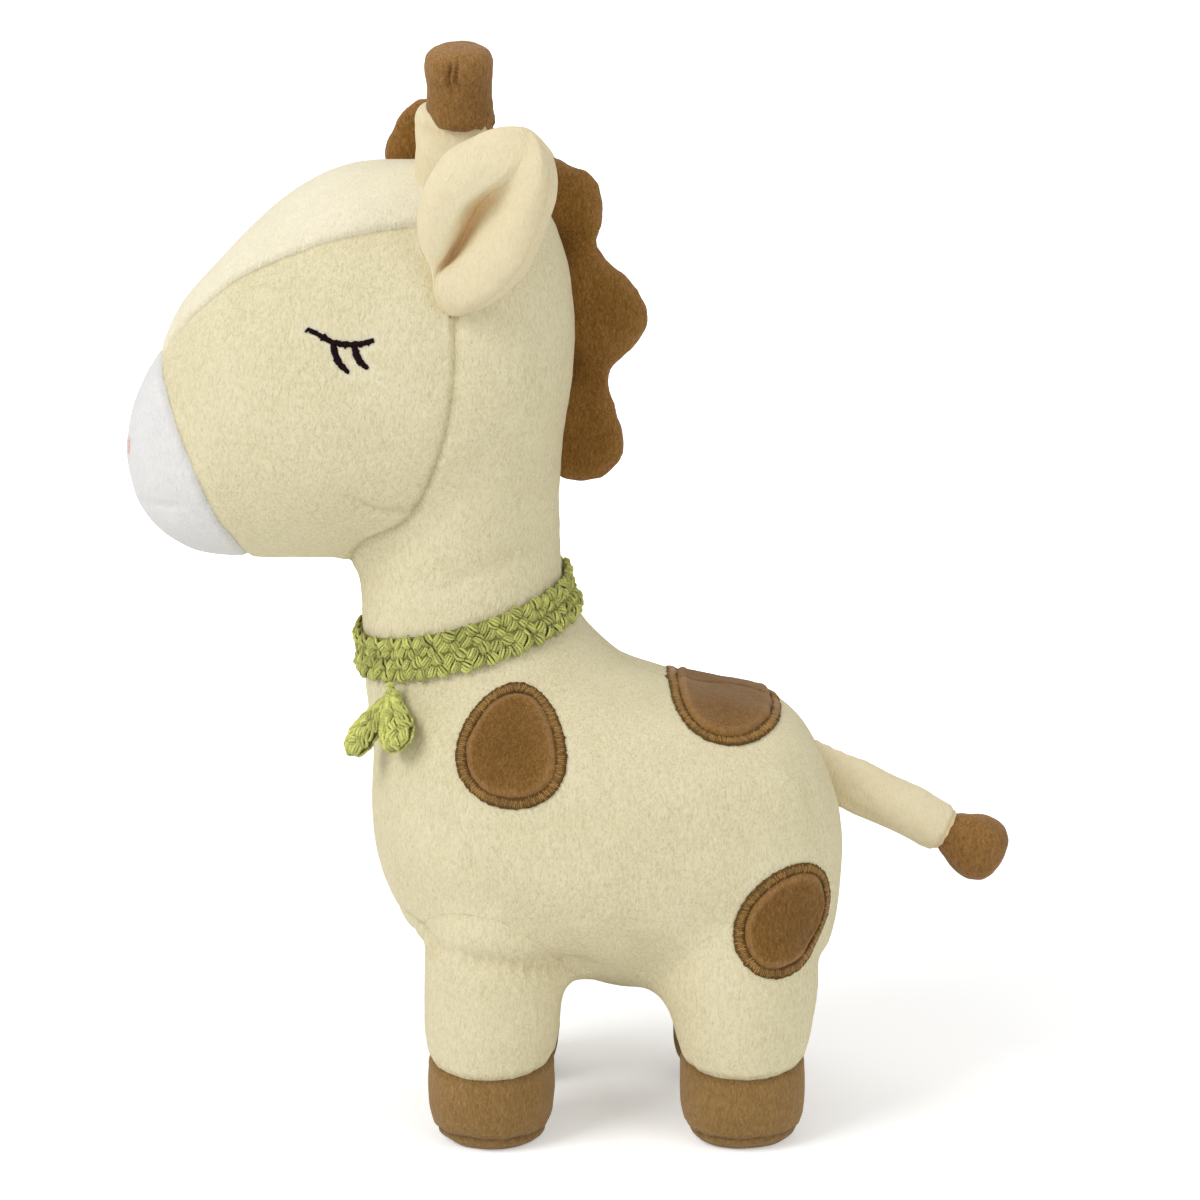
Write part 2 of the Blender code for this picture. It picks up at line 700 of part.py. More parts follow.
def make_zones():
    zones = {
        "face": face_zone(), "nape": nape_zone(),
        "forehead": forehead_zone(), "forehead cut": forehead_zone(-SEAM_GAP),
        "muzzle": muzzle_zone(), "muzzle cut": muzzle_zone(SEAM_GAP),
        "above collar": collar_block("above collar", True, SEAM_GAP / 2),
        "below collar": collar_block("below collar", False, -SEAM_GAP / 2),
        "left": half_block("left", -1), "right": half_block("right", 1),
        "belly": belly_block("belly", 0.0), "belly cut": belly_block("belly cut", SEAM_GAP),
    }
    return zones


def make_body_covers(zones):
    """Cut the skin along its seams into the panels it is sewn from."""
    shell = cloth_shell()
    for side in ("left", "right"):
        torso = piece_of(shell, zones, ("below collar", side), ("belly cut",))
        finish(torso, "torso_cover_" + side, CREAM)
        nape = piece_of(shell, zones, ("above collar", "nape", side))
        finish(nape, "neck_cover_" + side, CREAM)
        face = piece_of(shell, zones, ("face", side), ("forehead cut", "muzzle cut"))
        finish(face, "face_cover_" + side, CREAM)
    finish(piece_of(shell, zones, ("below collar", "belly")), "belly_panel", CREAM)
    finish(piece_of(shell, zones, ("face", "forehead"), ("muzzle cut",)), "forehead_panel", PALE_CREAM)
    finish(piece_of(shell, zones, ("face", "muzzle")), "muzzle_cover", WHITE)
    discard(shell)


def make_body_stuffing(zones):
    """The wadding inside the skin, in the three lots it is pushed in."""
    core = body_form(-PLUSH_THICKNESS - STUFFING_EASE, STUFFING_SEGMENTS, 1)
    finish(piece_of(core, zones, ("below collar",)), "torso_stuffing", STUFFING_WHITE)
    finish(piece_of(core, zones, ("above collar", "nape")), "neck_stuffing", STUFFING_WHITE)
    finish(piece_of(core, zones, ("face",)), "head_stuffing", STUFFING_WHITE)
    discard(core)


def leg_places():
    for end, x in (("front", FRONT_LEG_X), ("rear", REAR_LEG_X)):
        for name, side in (("left", -1), ("right", 1)):
            yield end + "_" + name, x, side * LEG_Y


def leg_solid(x, y, grow=0.0):
    """A whole leg above its hoof, with a round top inside the torso."""
    base = HOOF_TOP_Z + SEAM_GAP
    return loft("leg solid", standing_rings(LEG_RING_SHARES, x, y, base, LEG_TOP_Z - base, LEG_WIDTH, grow))


def make_leg(label, x, y, torso_cut):
    """One leg: its plush sleeve, brown hoof, sole and wadding."""
    base = HOOF_TOP_Z + SEAM_GAP
    height = LEG_TOP_Z - base
    outer = standing_rings(LEG_RING_SHARES[:-1], x, y, base, height, LEG_WIDTH)
    inner = standing_rings(LEG_RING_SHARES[:-1], x, y, base, height, LEG_WIDTH, -PLUSH_THICKNESS)
    finish(subtract(tube("leg", outer, inner), torso_cut), "leg_cover_" + label, CREAM)

    foot = SOLE_THICKNESS + SEAM_GAP
    rise = HOOF_TOP_Z - foot
    outer = standing_rings(HOOF_RING_SHARES, x, y, foot, rise, HOOF_WIDTH)
    inner = standing_rings(HOOF_RING_SHARES, x, y, foot, rise, HOOF_WIDTH, -PLUSH_THICKNESS)
    finish(tube("hoof", outer, inner), "hoof_cover_" + label, HOOF_BROWN)
    sole = loft("sole", standing_rings(SOLE_RING_SHARES, x, y, 0.0, SOLE_THICKNESS, SOLE_WIDTH))
    finish(sole, "sole_" + label, HOOF_BROWN)

    ease = -PLUSH_THICKNESS - STUFFING_EASE
    wadding = standing_rings(HOOF_RING_SHARES, x, y, foot, rise, HOOF_WIDTH, ease)
    wadding += standing_rings(LEG_RING_SHARES, x, y, base, height, LEG_WIDTH, ease)
    finish(subtract(loft("wadding", wadding), torso_cut), "leg_stuffing_" + label, STUFFING_WHITE)


def horn_ring(distance, width, side, segments=SMALL_SEGMENTS):
    """A ring across a horn at a distance from its foot."""
    axis = Vector((0, side * math.sin(HORN_SPLAY), math.cos(HORN_SPLAY)))
    across = Vector((0, math.cos(HORN_SPLAY), -side * math.sin(HORN_SPLAY)))
    foot = Vector((HORN_X, side * HORN_FOOT_Y, HORN_FOOT_Z))
    return ellipse(foot + axis * distance, Vector((1, 0, 0)), across, width / 2, width / 2, segments)


def make_horn(label, side, body_cut):
    """A cream shaft with a brown cap over its end, and the wadding inside both."""
    shaft_length = HORN_LENGTH - HORN_CAP_LENGTH - SEAM_GAP
    outer = [horn_ring(rise * shaft_length, size * HORN_SHAFT_WIDTH, side)
             for rise, size in HORN_SHAFT_RING_SHARES]
    inner = [horn_ring(rise * shaft_length, size * HORN_SHAFT_WIDTH - 2 * PLUSH_THICKNESS, side)
             for rise, size in HORN_SHAFT_RING_SHARES]
    finish(subtract(tube("shaft", outer, inner), body_cut), "horn_shaft_" + label, PALE_CREAM)

    start = HORN_LENGTH - HORN_CAP_LENGTH
    dome = [horn_ring(start + rise * HORN_CAP_LENGTH, size * HORN_CAP_WIDTH, side)
            for rise, size in HORN_CAP_RING_SHARES]
    cap = loft("cap", dome)
    room = HORN_CAP_LENGTH - PLUSH_THICKNESS
    mouth = HORN_CAP_RING_SHARES[0][1] * HORN_CAP_WIDTH - 2 * PLUSH_THICKNESS
    hollow = [horn_ring(start - SEAM_GAP, mouth, side)]
    hollow += [horn_ring(start + rise * room, size * (HORN_CAP_WIDTH - 2 * PLUSH_THICKNESS), side)
               for rise, size in HORN_CAP_RING_SHARES[1:]]
    core = loft("hollow", hollow)
    finish(subtract(cap, core), "horn_cap_" + label, BROWN)
    discard(core)

    ease = 2 * PLUSH_THICKNESS + 2 * STUFFING_EASE
    wadding = [horn_ring(rise * shaft_length, size * HORN_SHAFT_WIDTH - ease, side)
               for rise, size in HORN_SHAFT_RING_SHARES]
    wadding += [horn_ring(start + rise * (room - STUFFING_EASE), size * (HORN_CAP_WIDTH - ease), side)
                for rise, size in HORN_CAP_RING_SHARES[1:]]
    finish(subtract(loft("wadding", wadding), body_cut), "horn_stuffing_" + label, STUFFING_WHITE)


def ear_frame(side):
    """Directions of an ear: along it, across it, and out of its open side."""
    mirror = Vector((1, side, 1))
    along = (Vector(EAR_ALONG_SHARES) * mirror).normalized()
    out = Vector(EAR_OUT_SHARES) * mirror
    out = (out - along * out.dot(along)).normalized()
    across = along.cross(out)
    return along, across, out


def ear_layer(name, side, inner, outer):
    """One curled leaf of cloth between two depths, measured from the ear's back."""
    along, across, out = ear_frame(side)
    foot = Vector((EAR_FOOT_X, side * EAR_FOOT_Y, EAR_FOOT_Z))
    rings = []
    for place, wide, curl in EAR_RING_SHARES:
        radius = wide * EAR_WIDTH / 2 / curl
        middle = foot + along * (place * EAR_LENGTH)
        ring = []
        for depth, order in ((inner, 1), (outer, -1)):
            for i in range(EAR_SEGMENTS + 1):
                turn = order * curl * (2 * i / EAR_SEGMENTS - 1)
                reach = radius - depth
                aside = across * (reach * math.sin(turn))
                ring.append(middle + aside + out * (radius - reach * math.cos(turn)))
        rings.append(ring)
    return loft(name, rings)


def hinge(name, place):
    """An empty on a joint's axis, which carries the moving pieces."""
    empty = bpy.data.objects.new(name, None)
    empty.location = place
    bpy.context.scene.collection.objects.link(empty)
    return empty


def hang_on(empty, *pieces):
    """Parent pieces to a hinge without moving them."""
    for piece in pieces:
        piece.parent = empty
        piece.matrix_parent_inverse = Matrix.Translation(empty.location).inverted()


def clear_swing(piece, blocker, place, axis, low, high):
    """Cut away what a moving piece would push into its neighbour anywhere between two angles."""
    for step in range(SWING_STEPS + 1):
        angle = low + (high - low) * step / SWING_STEPS
        to_joint = Matrix.Translation(place)
        turned = duplicate(blocker)
        turned.data.transform(to_joint @ Matrix.Rotation(-angle, 4, axis) @ to_joint.inverted())
        subtract(piece, turned)
        discard(turned)
    return piece


def make_ear(label, side, body_cut):
    """The outer cloth of an ear and its lining, hinged along the seam at its foot."""
    foot = (EAR_FOOT_X, side * EAR_FOOT_Y, EAR_FOOT_Z)
    axis = Vector(EAR_HINGE_SHARES) * -side
    start = EAR_CLOTH + SEAM_GAP
    layers = []
    for name, inner, colour in (("back", 0.0, CREAM), ("lining", start, PALE_CREAM)):
        layer = subtract(ear_layer(name, side, inner, inner + EAR_CLOTH), body_cut)
        clear_swing(layer, body_cut, foot, axis, EAR_SWING_IN, EAR_SWING_OUT)
        layers.append(finish(layer, "ear_" + name + "_" + label, colour))
    hang_on(hinge("ear_hinge_" + label, foot), *layers)


def inset_outline(outline, distance):
    """Move an outline inwards; it runs clockwise in the side view."""
    moved = []
    count = len(outline)
    for i, (x, z) in enumerate(outline):
        before = Vector(outline[i - 1])
        after = Vector(outline[(i + 1) % count])
        run = (after - before).normalized()
        moved.append((x + run.y * distance, z - run.x * distance))
    return moved


def make_mane(body_cut):
    """A padded strip with scalloped edge and rounded rims, cut to lie on the head and nape."""
    points = [(MANE_FRONT_X + along * MANE_LENGTH, MANE_BASE_Z + rise * MANE_HEIGHT)
              for along, rise in MANE_OUTLINE_SHARES]
    half = MANE_THICKNESS / 2
    layers = []
    for depth, inset in MANE_LAYER_SHARES:
        layers.append([Vector((x, depth * half, z)) for x, z in inset_outline(points, inset * MANE_RIM)])
    finish(subtract(loft("mane", layers), body_cut), "mane", BROWN)


def tail_ring(place, deep, wide):
    """A ring across the tail."""
    along = Vector((math.cos(TAIL_DROOP), 0, -math.sin(TAIL_DROOP)))
    up = Vector((math.sin(TAIL_DROOP), 0, math.cos(TAIL_DROOP)))
    root = Vector((TAIL_ROOT_X, 0, TAIL_ROOT_Z))
    half_deep = deep * TAIL_DEPTH / 2
    half_wide = wide * TAIL_WIDTH / 2
    centre = root + along * (place * TAIL_LENGTH)
    return ellipse(centre, Vector((0, 1, 0)), up, half_wide, half_deep, SMALL_SEGMENTS)


def make_tail(body_cut):
    """The tail's cream sleeve, brown tuft and wadding, pinched flat where it is sewn in."""
    root = (TAIL_ROOT_X, 0, TAIL_ROOT_Z)
    up = Vector((math.sin(TAIL_DROOP), 0, math.cos(TAIL_DROOP)))
    sleeve = loft("sleeve", [tail_ring(*row) for row in TAIL_SLEEVE_SHARES])
    clear_swing(sleeve, body_cut, root, up, -TAIL_SWING, TAIL_SWING)
    hollow = loft("hollow", [tail_ring(*row) for row in TAIL_HOLLOW_SHARES])
    finish(subtract(sleeve, hollow), "tail_cover", CREAM)
    wadding = loft("wadding", [tail_ring(*row) for row in TAIL_STUFFING_SHARES])
    finish(wadding, "tail_stuffing", STUFFING_WHITE)
    tuft = finish(loft("tuft", [tail_ring(*row) for row in TAIL_TUFT_SHARES]), "tail_tuft", BROWN)
    hang_on(hinge("tail_hinge", root), sleeve, wadding, tuft)
    discard(hollow)


def neck_section(z):
    """Middle and half sizes of the neck at a height."""
    rows = neck_rows()
    for lower, upper in zip(rows, rows[1:]):
        if lower[0] <= z <= upper[0]:
            t = (z - lower[0]) / (upper[0] - lower[0])
            return [a + (b - a) * t for a, b in zip(lower[1:], upper[1:])]
    raise ValueError("height outside the neck")


def neck_surface(angle, height_offset, out):
    """A point on the collar's path, above or below its middle line and out from the cloth."""
    x, y = NECK_FRONT_X + NECK_DEPTH / 2, 0.0
    for _ in range(8):
        middle, half_depth, half_width = neck_section(collar_height(x, y) + height_offset)
        x = middle + (half_depth + out) * math.cos(angle)
        y = (half_width + out) * math.sin(angle)
    return Vector((x, y, collar_height(x, y) + height_offset))


def make_collar():
    """A crocheted band that lies round the neck, with rounded edges."""
    half = COLLAR_HEIGHT / 2
    bm = bmesh.new()
    rings = []
    for i in range(COLLAR_SEGMENTS):
        angle = 2 * math.pi * i / COLLAR_SEGMENTS
        ring = [neck_surface(angle, rise * half, SEAM_GAP + out * COLLAR_THICKNESS)
                for rise, out in COLLAR_SECTION_SHARES]
        rings.append([bm.verts.new(point) for point in ring])
    for i in range(COLLAR_SEGMENTS):
        bridge(bm, rings[i], rings[(i + 1) % COLLAR_SEGMENTS])
    finish(object_from_bmesh("collar", bm), "collar", GREEN)


def knot_place():
    """Middle of the bow's knot, under the collar's lower edge."""
    drop = COLLAR_HEIGHT / 2 + KNOT_RADIUS + SEAM_GAP
    return neck_surface(KNOT_ANGLE, -drop, SEAM_GAP + KNOT_RADIUS)


def make_leaf(label, spread):
    """One crocheted leaf, hung from the knot and resting on the chest."""
    centre = knot_place()
    out = Vector((math.cos(KNOT_ANGLE), math.sin(KNOT_ANGLE), 0))
    tangent = Vector((out.y, -out.x, 0))
    down = (Vector((0, 0, -1)) * math.cos(LEAF_LEAN) + out * math.sin(LEAF_LEAN)).normalized()
    along = (down * math.cos(spread) + tangent * math.sin(spread)).normalized()
    across = (tangent * math.cos(spread) - down * math.sin(spread)).normalized()
    thick = along.cross(across)
    start = centre + along * (KNOT_RADIUS + SEAM_GAP)
    rings = [ellipse(start + along * (place * LEAF_LENGTH), across, thick,
                     wide * LEAF_WIDTH / 2, deep * LEAF_THICKNESS / 2, SMALL_SEGMENTS)
             for place, wide, deep in LEAF_RING_SHARES]
    leaf = finish(loft("leaf", rings), "bow_leaf_" + label, GREEN)
    hang_on(hinge("bow_hinge_" + label, centre), leaf)


def make_bow():
    """The knot under the collar and its two leaves."""
    bm = bmesh.new()
    bmesh.ops.create_icosphere(bm, subdivisions=2, radius=KNOT_RADIUS)
    bmesh.ops.translate(bm, vec=knot_place(), verts=bm.verts)
    finish(object_from_bmesh("knot", bm), "bow_knot", GREEN)
    for label, spread in LEAF_SPREADS.items():
        make_leaf(label, spread)


def egg(centre_x, centre_z, height, width, tilt, taper=PATCH_TAPER_SHARE, count=PATCH_SEGMENTS):
    """Egg outline in the side view, narrower at its top and turned by a tilt."""
    outline = []
    for i in range(count):
        angle = 2 * math.pi * i / count
        rise = height / 2 * math.sin(angle)
        out = width / 2 * math.cos(angle) * (1 - taper * math.sin(angle))
        outline.append((centre_x + out * math.cos(tilt) + rise * math.sin(tilt),
                        centre_z - out * math.sin(tilt) + rise * math.cos(tilt)))
    return outline


def raised(zone, outer, inner):
    """What lies in a zone between an inner and an outer form."""
    layer = intersect(duplicate(outer), zone)
    subtract(layer, inner)
    discard(zone)
    return layer


def largest_side(obj, axis, sign):
    """Keep only the half of a layer that faces one way."""
    reach = HEAD_LENGTH + CUT_OVERRUN
    low = [-reach] * 3
    high = [reach * 2] * 3
    edge = SEAM_GAP / 2
    if sign < 0:
        high[axis] = -edge
    else:
        low[axis] = edge
    block = slab("half", low, high)
    intersect(obj, block)
    discard(block)
    return obj


def make_patches():
    """Brown patches sewn on the shoulder, back and thigh of each side."""
    hull = patch_form(SEAM_GAP + PATCH_THICKNESS)
    skin = patch_form(SEAM_GAP)
    outlines = {
        "shoulder_patch": egg(SHOULDER_PATCH_X, SHOULDER_PATCH_Z, SHOULDER_PATCH_HEIGHT, SHOULDER_PATCH_WIDTH,
                              SHOULDER_PATCH_TILT),
        "back_patch": egg(BACK_PATCH_X, BACK_PATCH_Z, BACK_PATCH_DEPTH, BACK_PATCH_LENGTH, 0.0, taper=0.0),
        "thigh_patch": egg(THIGH_PATCH_X, THIGH_PATCH_Z, THIGH_PATCH_HEIGHT, THIGH_PATCH_WIDTH,
                           THIGH_PATCH_TILT),
    }
    for name, outline in outlines.items():
        for label, side in (("left", -1), ("right", 1)):
            patch = raised(side_prism("patch zone", outline, 0), hull, skin)
            finish(largest_side(patch, 1, side), name + "_" + label, BROWN)
    make_shin_patch(hull, skin)
    discard(hull, skin)


def patch_form(grow):
    """The torso and all legs, moved out by the growth, which the patches lie on."""
    legs = [leg_solid(x, y, grow) for _, x, y in leg_places()]
    return unite(torso_form(grow), neck_form(grow), *legs)


def make_shin_patch(hull, skin):
    """A small patch on the front of the right rear leg, between the legs."""
    outline = egg(LEG_Y, SHIN_PATCH_Z, SHIN_PATCH_WIDTH, SHIN_PATCH_WIDTH, 0.0)
    zone = prism("shin zone", outline, REAR_LEG_X - SHIN_PATCH_REACH, REAR_LEG_X, front_point)
    finish(raised(zone, hull, skin), "shin_patch", BROWN)


def ribbon(points, width):
    """Outline of a stitched line with a width."""
    left, right = [], []
    for i, (x, z) in enumerate(points):
        before = Vector(points[max(i - 1, 0)])
        after = Vector(points[min(i + 1, len(points) - 1)])
        run = (after - before).normalized() * width / 2
        left.append((x - run.y, z + run.x))
        right.append((x + run.y, z - run.x))
    return left + right[::-1]


def make_eye(label, side, hull, skin):
    """A closed eye in satin stitch: the lid's line and two lashes."""
    lid = [(EYE_X + along * EYE_LENGTH, EYE_Z + rise * EYE_LENGTH) for along, rise in LID_SHARES]
    zone = side_prism("lid", ribbon(lid, THREAD_WIDTH), side)
    for root in LASH_ROOT_SHARES:
        start = EYE_X + root * EYE_LENGTH
        lash = [(start + along * LASH_LENGTH, EYE_Z + rise * LASH_LENGTH) for along, rise in LASH_SHARES]
        unite(zone, side_prism("lash", ribbon(lash, LASH_THREAD_WIDTH), side))
    finish(raised(zone, hull, skin), "eye_" + label, DARK_THREAD)


def make_face(body_cut):
    """Embroidered eyes and nostrils."""
    hull = head_form(SEAM_GAP + THREAD_THICKNESS)
    for label, side in (("left", -1), ("right", 1)):
        make_eye(label, side, hull, body_cut)
        outline = egg(side * NOSTRIL_Y, NOSTRIL_Z, NOSTRIL_HEIGHT, NOSTRIL_WIDTH, 0.0, 0.0, NOSTRIL_SEGMENTS)
        zone = prism("nostril zone", outline, HEAD_FRONT_X - CUT_OVERRUN, EYE_X, front_point)
        finish(raised(zone, hull, body_cut), "nostril_" + label, PEACH)
    discard(hull)


def main():
    for obj in list(bpy.data.objects):
        bpy.data.objects.remove(obj, do_unlink=True)
    zones = make_zones()
    body_cut = body_form(SEAM_GAP)
    make_body_covers(zones)
    make_body_stuffing(zones)
    for label, x, y in leg_places():
        make_leg(label, x, y, body_cut)
    for label, side in (("left", -1), ("right", 1)):
        make_horn(label, side, body_cut)
        make_ear(label, side, body_cut)
    make_mane(body_cut)
    make_tail(body_cut)
    make_collar()
    make_bow()
    make_patches()
    make_face(body_cut)
    discard(body_cut, *zones.values())


main()
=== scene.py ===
"""Looks of a standing plush giraffe: sewn minky skin, appliqué, embroidery and a crocheted collar.

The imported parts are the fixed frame. Each soft piece is built here at its real size, in metres, with the
head towards -X and the toy's left side towards -Y.
"""
import json
import math

import bmesh
import bpy
import numpy as np
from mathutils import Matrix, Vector
from mathutils.bvhtree import BVHTree
from mathutils.kdtree import KDTree
from mathutils.noise import noise


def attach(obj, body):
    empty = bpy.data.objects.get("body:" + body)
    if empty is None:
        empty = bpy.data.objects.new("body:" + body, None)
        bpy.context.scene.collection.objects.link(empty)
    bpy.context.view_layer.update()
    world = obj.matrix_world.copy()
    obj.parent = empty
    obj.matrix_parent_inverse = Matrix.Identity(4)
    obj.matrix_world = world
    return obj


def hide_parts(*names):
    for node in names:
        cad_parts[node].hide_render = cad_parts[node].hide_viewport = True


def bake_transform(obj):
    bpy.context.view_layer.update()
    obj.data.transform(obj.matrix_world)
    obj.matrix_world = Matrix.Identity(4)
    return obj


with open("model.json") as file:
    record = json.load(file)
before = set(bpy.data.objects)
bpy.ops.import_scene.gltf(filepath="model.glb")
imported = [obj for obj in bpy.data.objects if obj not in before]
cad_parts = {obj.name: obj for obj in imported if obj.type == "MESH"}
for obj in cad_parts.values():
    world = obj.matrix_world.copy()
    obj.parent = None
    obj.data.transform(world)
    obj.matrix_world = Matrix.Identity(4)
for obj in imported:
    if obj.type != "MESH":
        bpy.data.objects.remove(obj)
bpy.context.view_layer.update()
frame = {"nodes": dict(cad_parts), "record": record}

bl_info = {
    "name": "Plush Giraffe",
    "version": (1, 0, 0),
    "blender": (4, 5, 0),
    "location": "3D View > Sidebar > Plush",
    "description": "Builds the sewn skin, embroidery and crocheted collar of a plush giraffe",
    "category": "Object",
}

# Torso, neck and head: where each form starts and how large it is
TORSO_FRONT_X, TORSO_LENGTH = -0.0545, 0.1285
TORSO_BASE_Z, TORSO_HEIGHT, TORSO_WIDTH = 0.0405, 0.0885, 0.0960
NECK_BASE_Z, NECK_HEIGHT = 0.0800, 0.1785
NECK_FRONT_X, NECK_DEPTH, NECK_WIDTH = -0.0570, 0.0540, 0.0540
HEAD_FRONT_X, HEAD_LENGTH = -0.1190, 0.1210
HEAD_BASE_Z, HEAD_HEIGHT, HEAD_WIDTH = 0.1525, 0.1065, 0.0820
TORSO_FULLNESS, HEAD_FULLNESS, NECK_FULLNESS = 2.5, 2.2, 2.0

# Legs and hooves
LEG_XS = {"front": -0.0208, "rear": 0.0457}
LEG_Y, LEG_WIDTH, LEG_TOP_Z = 0.0275, 0.0366, 0.0720
HOOF_TOP_Z, HOOF_SEAM_DIP, SOLE_SEAM_Z = 0.0232, 0.0032, 0.0040

# Collar
COLLAR_FRONT_Z, COLLAR_BACK_Z, COLLAR_SIDE_DROP = 0.1288, 0.1436, 0.0046
COLLAR_HEIGHT = 0.0112

# Belly strip between the legs
BELLY_HALF_WIDTH, BELLY_TOP_Z = 0.0150, 0.0560
BELLY_FRONT_X, BELLY_BACK_X = -0.0416, 0.0650

# Rows of a form: place along it, lower edge, upper edge and width, as shares of its sizes
TORSO_ROW_SHARES = [
    (0.000, 0.550, 0.550, 0.00), (0.028, 0.290, 0.840, 0.42), (0.085, 0.120, 0.950, 0.70),
    (0.200, 0.040, 0.985, 0.90), (0.350, 0.010, 0.985, 0.99), (0.500, 0.000, 0.970, 1.00),
    (0.650, 0.000, 0.925, 0.98), (0.800, 0.005, 0.870, 0.92), (0.900, 0.020, 0.785, 0.80),
    (0.960, 0.065, 0.650, 0.60), (0.990, 0.165, 0.500, 0.32), (1.000, 0.330, 0.330, 0.00),
]
NECK_ROW_SHARES = [
    (0.000, 0.650, 0.650, 0.00), (0.045, 0.130, 1.360, 1.11), (0.134, 0.037, 1.470, 1.29),
    (0.202, 0.015, 1.490, 1.26), (0.241, 0.010, 1.410, 1.18), (0.280, 0.005, 1.230, 1.09),
    (0.319, 0.000, 1.110, 1.02), (0.370, 0.000, 1.020, 1.00), (0.448, 0.055, 0.990, 1.04),
    (0.538, 0.170, 1.010, 1.15), (0.644, 0.200, 1.056, 1.28), (0.767, 0.200, 1.090, 1.35),
    (0.885, 0.240, 0.990, 1.22), (0.963, 0.310, 0.815, 0.81), (1.000, 0.540, 0.540, 0.00),
]
HEAD_ROW_SHARES = [
    (0.000, 0.268, 0.268, 0.00), (0.014, 0.174, 0.366, 0.27), (0.045, 0.103, 0.460, 0.44),
    (0.107, 0.038, 0.570, 0.60), (0.186, 0.005, 0.704, 0.73), (0.281, 0.000, 0.831, 0.84),
    (0.384, 0.000, 0.934, 0.93), (0.496, 0.000, 0.990, 0.98), (0.628, 0.010, 1.000, 1.00),
    (0.777, 0.070, 0.992, 0.96), (0.901, 0.183, 0.925, 0.80), (0.975, 0.350, 0.775, 0.44),
    (1.000, 0.577, 0.577, 0.00),
]
# Height and width of a leg with its hoof, as shares of the leg's top and width
LEG_RING_SHARES = [
    (0.000, 0.00), (0.001, 0.70), (0.012, 0.810), (0.040, 0.865), (0.100, 0.925), (0.220, 0.950),
    (0.300, 0.945), (0.330, 0.960), (0.375, 1.000), (0.480, 1.01), (0.650, 1.02), (0.800, 0.97),
    (0.920, 0.72), (1.000, 0.00),
]

# Seam lines in the side view, as shares of the head's length and height from its front and base
CHEEK_SEAM_SHARES = [
    (0.835, 1.120), (0.800, 0.950), (0.758, 0.780), (0.746, 0.610), (0.742, 0.450), (0.708, 0.277),
    (0.640, 0.122), (0.520, 0.034), (0.440, -0.120),
]
FOREHEAD_SEAM_SHARES = [
    (0.050, 0.440), (0.100, 0.526), (0.135, 0.580), (0.175, 0.624), (0.261, 0.704), (0.354, 0.752),
    (0.480, 0.800), (0.640, 0.835), (0.900, 0.860),
]
MUZZLE_SEAM_SHARES = [
    (0.070, 0.640), (0.085, 0.520), (0.128, 0.375), (0.172, 0.250), (0.222, 0.110), (0.262, 0.030),
    (0.280, -0.100),
]

SIDES = (("left", -1), ("right", 1))
# Directions round a seam that runs round a horn
SEAM_TURNS = np.arange(0, 6.3, 0.1)
# What the body's operator leaves for the pieces that lie on it: points, faces and a tree of its skin
SEWN = {}


